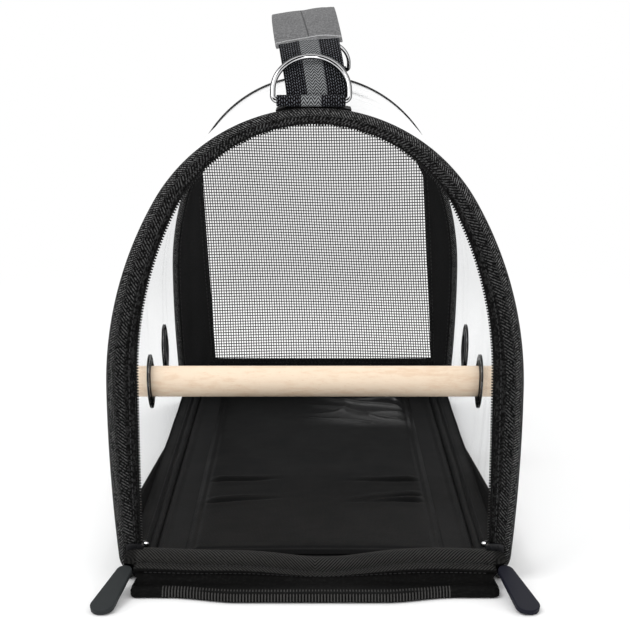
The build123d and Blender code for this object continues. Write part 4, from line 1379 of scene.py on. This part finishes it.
def strip_section():
    """Side outline of the folded strip, as depths and levels.

    It is a roll on top, a crease, a second bulge, a hollow and a hem on the ground.
    """
    roll = np.array([-3.8, extent("door_flap")[1][2] - 5.0])
    upper = arc(roll, 5.0, -60, 198, 0.9)
    lower = [(-8.9, 13.9), (-9.7, 14.1), (-11.5, 13.5), (-12.6, 12.3), (-12.9, 11.0)]
    lower += [(-12.4, 9.9), (-12.5, 9.0), (-13.3, 7.6), (-15.2, 6.3), (-17.8, 5.6)]
    lower += [(-20.6, 5.5), (-23.3, 4.8), (-24.8, 3.2), (-25.1, 1.5), (-24.5, 0.4)]
    lower += [(-22.0, 0.3), (-19.8, 0.35), (-18.9, 1.2), (-18.6, 2.3), (-17.9, 3.2)]
    lower += [(-16.6, 3.6), (-12.0, 5.8), (-6.0, 8.7), (-2.6, 10.6)]
    return np.vstack([upper, spline([upper[-1], *lower, upper[0]])[1:-1]])


def strip_points(x, section):
    """The strip over stations x: its top sags in the middle, and its hem bulges forwards."""
    x, depth, level = np.broadcast_arrays(x[:, None], *section.T[:, None])
    sag = bell(x + 0.5, 34.0) + 0.12 * np.sin(x / 13.0)
    level = level - 4.7 * sag * smooth(level, 7.0, 14.0)
    bulge = smooth(-abs(x + 2.0), -78.0, -40.0)
    hem = smooth(-depth, 15.0, 22.0) * smooth(-depth, 17.0, 24.0)
    depth = depth - 7.0 * bulge * hem
    ripple = 0.25 * np.sin(x / 9.0 + depth) * smooth(level, 3.0, 8.0)
    return spread(x, FRONT + depth + ripple, level)


def strip_end_piece(side, name, section, run):
    """Soft end of the strip: its rows run on past the sill, spread by their level and taper in."""
    half = extent("door_flap")[1][0]
    reach = np.array([0.0, 0.25, 1.5, 3.0, 4.0, 4.7, 5.1, 5.3])
    taper = np.array([1.0, 1.0, 1.0, 0.99, 0.97, 0.92, 0.84, 0.7])[:, None]
    ends = strip_points(side * (half + reach), np.vstack([section, STRIP_CORE]))
    level = ends[..., 2]
    beyond = smooth(level, 16.6, 17.6) + 0.12 * (1 - smooth(level, 1.0, 4.0))
    beyond -= 0.35 * smooth(level, 2.5, 4.5) * (1 - smooth(level, 8.0, 11.0))
    ends[..., 0] += side * reach[:, None] * beyond
    depth = ends[..., 1] - FRONT
    behind = (reach[:, None] > 0) & (level > 10.0)
    depth = np.where(behind, np.minimum(depth, -5.5), depth)
    core_depth, core_level, ground = -14.0, 9.0, 0.3
    ends[..., 1] = FRONT + core_depth + (depth - core_depth) * taper
    ends[..., 2] = np.maximum(core_level + (level - core_level) * taper, ground)
    ends, middles = ends[:, :-1], ends[[0, -1], -1]
    stations = np.append(ends[..., 0], ends[:, :1, 0], 1)
    shape = Shape().tube(ends, spread(stations, run[None]), middles)
    made = piece(shape, name, "strip_twill", body="door_flap", slot="black_binding")
    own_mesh(made)


def strip_pieces():
    """The folded strip before the sill, its soft ends, its cords and its stitches."""
    section = strip_section()
    half = extent("door_flap")[1][0]
    x = np.linspace(-half, half, 140)
    run = lengths(np.vstack([section, section[:1]]))
    middles = strip_points(x[[0, -1]], STRIP_CORE)[:, 0]
    shape = Shape().tube(strip_points(x, section), spread(x[:, None], run[None]), middles)
    on_flap = {"body": "door_flap", "slot": "black_binding"}
    piece(shape, "door_strip", "strip_twill", replaces=["door_flap"], **on_flap)
    for side, name in ((-1, "left_strip_end"), (1, "right_strip_end")):
        strip_end_piece(side, name, section, run)
    # The cords are real ribs of the hem; their pale material paints the highlight on them.
    cords = Shape()
    spots = np.arange(-83.0, 75.0, 1.7)
    foot = strip_points(spots, np.array([(-20.4, 5.5), (-24.0, 4.4), (-25.2, 1.6)]))
    for first, second in ((0, 1), (1, 2)):
        along = unit(foot[:, second] - foot[:, first])
        axes = np.stack([along, np.broadcast_to(X_AXIS, along.shape), np.cross(along, X_AXIS)], 1)
        centres = (foot[:, first] + foot[:, second]) / 2
        cords.repeat(bead(3, 6, 0.8), centres, axes, np.array([2.4, 0.5, 0.45]))
    piece(cords, "strip_cords", "cord", **on_flap)
    rows = Shape()
    stations = np.linspace(1.5 - half, half - 1.5, 190)
    for place in ((-12.7, 10.3), (-9.3, 14.2)):
        stitches(rows, strip_points(stations, np.array([place]))[:, 0], -Y_AXIS, 2.6, 0.3)
    piece(rows, "strip_stitches", "thread", **on_flap)


def door_pieces():
    """The open door folded under the base: a cloth border, a net and its half of the zipper."""
    low, high = extent("door_border")
    mouth = mouth_arch()
    shift = high[1] + DOOR_EDGE - mouth.top
    foot = low[1] - shift
    level = centre_of("door_border")[2]

    def place(spots, lift=0.0):
        """Lays flat spots level under the base, their height turned into depth."""
        return spread(spots[..., 0], spots[..., 1] + shift, level + lift)

    over_count, foot_count = 300, 90
    outer = closed_line(even(mouth.line(DOOR_EDGE, foot), count=over_count), foot_count)
    hem_line = mouth.line(DOOR_EDGE + DOOR_HEM, foot + DOOR_HEM)
    inner = closed_line(even(hem_line, count=over_count), foot_count)
    shares = np.linspace(0, 1, 9)
    flat = ruled(outer, inner, shares)
    bow = 0.25 * np.sin(np.pi * shares)[None] * np.sin(lengths(outer)[:, None] / 11.0)
    border = piece(
        Shape().grid(place(flat, bow), wrap=(True, False)),
        "door_border_cloth", "black_nylon", body="door_panel", replaces=["door_border"],
        thickness=1.6,
    )
    sheet(border, *strip_cut(flat), "folded", ["door_strip"], odd=True)
    outline = mouth.line(20.0, foot)
    shape = net_threads(outline, foot + 14.0, outline[0, 0], 0.5, place, Z_AXIS)
    net = piece(shape, "door_net", "black_mesh", body="door_panel", replaces=["door_mesh"])
    low, high = extent("door_mesh")
    seam = 4
    width, length = high[0] - low[0] + seam, high[1] - low[1] + seam
    sheet(net, width, length, "stretched", ["door_border_cloth"], odd=True)
    edge = mouth.line(DOOR_EDGE, foot + 0.4)
    shape = teeth(Shape(), edge, place, 1, Z_AXIS, centre=1.3, half=(1.25, 0.28, 0.95))
    cord = place(even(mouth.line(5.3, foot + 0.4)))
    shape.tube(sweep(cord, 0.6 * circle(8), Z_AXIS))
    coil = ["door_zipper_coil"]
    piece(shape, "door_zipper_teeth", "zipper_plastic", body="door_panel", replaces=coil)


# --- Rigid parts that stay --------------------------------------------------------
KEPT = {
    "front_frame_wire": "frame_steel",
    "rear_frame_wire": "frame_steel",
    "zipper_stops": "bright_steel",
    "floor_board": "board",
    "left_slider": "black_metal",
    "right_slider": "black_metal",
    "left_pull_link": "black_metal",
    "right_pull_link": "black_metal",
    "left_pull_tab": "left_pull_rubber",
    "right_pull_tab": "right_pull_rubber",
    "front_d_ring": "bright_steel",
    "rear_d_ring": "bright_steel",
    "perch": "bare_wood",
}


def kept_nodes():
    """Gives the rigid frame nodes that stay their materials, and the sliders bright noses."""
    half = np.array([2.6, 0.7, 1.7])
    for side, name in ((-1, "left_slider"), (1, "right_slider")):
        low, high = extent(name)
        inner = min(abs(low[0]), abs(high[0]))
        centre = np.array([[side * (inner + 0.4), high[1] - 0.8, high[2] - 1.9]])
        nose = Shape().repeat(bead(5, 10, 0.7), centre, np.eye(3)[None], half)
        piece(nose, name + "_nose", "bright_steel", body=name)
    for node, material in KEPT.items():
        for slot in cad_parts[node].material_slots:
            slot.material = material_of(material)


# --- Stage ------------------------------------------------------------------------
AIM = (0, 0, 130)  # what the lamps point at
LAMPS = {  # place, width and power
    "key_lamp": ((-700, -700, 1500), 700, 8.0),
    "back_lamp": ((300, 1300, 1400), 900, 6.0),
    "fill_lamp": ((0, -1150, 150), 420, 2.2),
}
CAMERA_DISTANCE, CAMERA_LEVEL, CAMERA_DOWN = 817.0, 316.0, 11.31
WHITE = (1, 1, 1, 1)


def add_table():
    """Pale table that turns to the white of the surroundings far away and beside the carrier;
    beside it, the white glow paints light over the carrier's shadow.
    """
    table = Finish("table", bpy.context.scene.carrier_colours.floor, 0.9, Specular_IOR_Level=0.0)
    x, y, _ = table.place()
    away = table.ramp((x * x + y * y).math("SQRT"), 330.0, 900.0)
    # Beside the carrier the table glows white to the camera, which paints light over the carrier's
    # shadow there.
    painted_light_beside = table.ramp(x.math("ABSOLUTE"), 118.0, 215.0) * 0.85
    seen = table.node("ShaderNodeLightPath", output="Is Camera Ray")
    glow = table.node("ShaderNodeEmission", inputs={"Color": WHITE, "Strength": 1.0})
    table.surface(away.math("MAXIMUM", painted_light_beside) * seen, table.shaded, glow)
    corner = np.linspace(-4000.0, 4000.0, 3)
    grid = spread(corner[:, None], corner[None], -0.05)
    Shape().grid(grid).object("table_top", table.material)


def add_surroundings():
    """White world: full strength to the eye and in reflections, a little less as light."""
    world = bpy.data.worlds.new("surroundings")
    world.use_nodes = True
    bpy.context.scene.world = world
    background = world.node_tree.nodes["Background"]
    back = Value(world.node_tree, background.outputs[0])
    kinds = ("Camera", "Glossy", "Transmission")
    eye, *others = (back.node("ShaderNodeLightPath", output=f"Is {kind} Ray") for kind in kinds)
    for other in others:
        eye = eye.math("MAXIMUM", other)
    back.feed(background.inputs["Strength"], eye * 0.05 + 0.95)
    back.feed(background.inputs["Color"], WHITE)


def add_lamps():
    """Soft square lamps, and a dark card in front that only reflections see."""
    for name, (place, width, power) in LAMPS.items():
        data = bpy.data.lights.new(name, "AREA")
        data.size, data.energy = width * MM, power
        lamp = bpy.data.objects.new(name, data)
        bpy.context.scene.collection.objects.link(lamp)
        lamp.location = np.array(place) * MM
        aim = Vector(np.array(AIM) - np.array(place))
        lamp.rotation_euler = aim.to_track_quat("-Z", "Y").to_euler()
    x, level = np.array([-1700.0, 1700.0])[:, None], np.array([60.0, 2200.0])[None]
    black = Finish("dark_card", (0.01, 0.01, 0.01), 1.0, Specular_IOR_Level=0.0)
    card = Shape().grid(spread(x, FRONT - 1500.0, level)).object("dark_card", black.material)
    card.visible_camera = card.visible_diffuse = False
    card.visible_shadow = card.visible_transmission = False


def add_camera():
    """Camera in front of the carrier at its top's height, looking slightly down."""
    view = bpy.data.cameras.new("view")
    view.lens, view.sensor_width = 88.0, 36.0
    camera = bpy.data.objects.new("view", view)
    bpy.context.scene.collection.objects.link(camera)
    camera.location = (0.0, (FRONT - CAMERA_DISTANCE) * MM, CAMERA_LEVEL * MM)
    camera.rotation_euler = (np.radians(90.0 - CAMERA_DOWN), 0.0, 0.0)
    bpy.context.scene.camera = camera


# --- Operators --------------------------------------------------------------------
class CARRIER_OT_film(bpy.types.Operator):
    """Builds the clear tunnel"""

    bl_idname = "carrier.film"
    bl_label = "Clear Film"

    def execute(self, context):
        film_piece()
        return {"FINISHED"}


class CARRIER_OT_grommets(bpy.types.Operator):
    """Builds the eyelets and grommets of the perch holes"""

    bl_idname = "carrier.grommets"
    bl_label = "Grommets"

    def execute(self, context):
        grommet_pieces()
        return {"FINISHED"}


class CARRIER_OT_piping(bpy.types.Operator):
    """Builds the corded edges of the hoops and the base"""

    bl_idname = "carrier.piping"
    bl_label = "Piping"

    def execute(self, context):
        piping_pieces()
        return {"FINISHED"}


class CARRIER_OT_band(bpy.types.Operator):
    """Builds the front band, its stitches and the sill"""

    bl_idname = "carrier.band"
    bl_label = "Front Band"

    def execute(self, context):
        band_pieces()
        sill_piece()
        return {"FINISHED"}


class CARRIER_OT_frame_zipper(bpy.types.Operator):
    """Builds the frame's half of the zipper"""

    bl_idname = "carrier.frame_zipper"
    bl_label = "Frame Zipper"

    def execute(self, context):
        frame_zipper_piece()
        return {"FINISHED"}


class CARRIER_OT_rear(bpy.types.Operator):
    """Builds the rear border, its stitches and the rear net"""

    bl_idname = "carrier.rear"
    bl_label = "Rear Panel"

    def execute(self, context):
        rear_pieces()
        rear_net_piece()
        return {"FINISHED"}


class CARRIER_OT_floor(bpy.types.Operator):
    """Builds the under cover, the liner and the bands beside it"""

    bl_idname = "carrier.floor"
    bl_label = "Floor"

    def execute(self, context):
        floor_pieces()
        return {"FINISHED"}


class CARRIER_OT_mat(bpy.types.Operator):
    """Builds the loose mat"""

    bl_idname = "carrier.mat"
    bl_label = "Mat"

    def execute(self, context):
        mat_piece()
        return {"FINISHED"}


class CARRIER_OT_handle(bpy.types.Operator):
    """Builds the handle, its wrap, loops and patches"""

    bl_idname = "carrier.handle"
    bl_label = "Handle"

    def execute(self, context):
        handle_pieces()
        return {"FINISHED"}


class CARRIER_OT_strip(bpy.types.Operator):
    """Builds the door's folded strip"""

    bl_idname = "carrier.strip"
    bl_label = "Door Strip"

    def execute(self, context):
        strip_pieces()
        return {"FINISHED"}


class CARRIER_OT_door(bpy.types.Operator):
    """Builds the door that lies folded under the base"""

    bl_idname = "carrier.door"
    bl_label = "Folded Door"

    def execute(self, context):
        door_pieces()
        return {"FINISHED"}


class CARRIER_OT_kept(bpy.types.Operator):
    """Gives the rigid parts that stay their materials"""

    bl_idname = "carrier.kept"
    bl_label = "Kept Parts"

    def execute(self, context):
        kept_nodes()
        return {"FINISHED"}


class CARRIER_OT_stage(bpy.types.Operator):
    """Builds the table, the surroundings, the lamps and the camera"""

    bl_idname = "carrier.stage"
    bl_label = "Stage"

    def execute(self, context):
        context.scene.view_settings.view_transform = "Standard"
        add_table()
        add_surroundings()
        add_lamps()
        add_camera()
        return {"FINISHED"}


OPERATORS = [
    CARRIER_OT_film,
    CARRIER_OT_grommets,
    CARRIER_OT_piping,
    CARRIER_OT_band,
    CARRIER_OT_frame_zipper,
    CARRIER_OT_rear,
    CARRIER_OT_floor,
    CARRIER_OT_mat,
    CARRIER_OT_handle,
    CARRIER_OT_strip,
    CARRIER_OT_door,
    CARRIER_OT_kept,
    CARRIER_OT_stage,
]


class CARRIER_PT_pieces(bpy.types.Panel):
    """Sidebar panel with the carrier's sizes, colours and builders."""

    bl_label = "Bird Travel Carrier"
    bl_space_type = "VIEW_3D"
    bl_region_type = "UI"
    bl_category = "Carrier"

    def draw(self, context):
        for made in OPERATORS:
            self.layout.operator(made.bl_idname)
        for group in (context.scene.carrier_sizes, context.scene.carrier_colours):
            box = self.layout.box()
            for name in group.__annotations__:
                box.prop(group, name)


CLASSES = [CarrierSizes, CarrierColours, *OPERATORS, CARRIER_PT_pieces]


def register():
    for made in CLASSES:
        bpy.utils.register_class(made)
    bpy.types.Scene.carrier_sizes = bpy.props.PointerProperty(type=CarrierSizes)
    bpy.types.Scene.carrier_colours = bpy.props.PointerProperty(type=CarrierColours)


def unregister():
    del bpy.types.Scene.carrier_sizes
    del bpy.types.Scene.carrier_colours
    for made in reversed(CLASSES):
        bpy.utils.unregister_class(made)


def main():
    """Registers the add-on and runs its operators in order."""
    register()
    for made in OPERATORS:
        key = made.bl_idname.split(".")[1]
        if getattr(bpy.ops.carrier, key)() != {"FINISHED"}:
            raise RuntimeError(f"{key} did not finish")


if __name__ == "__main__":
    main()
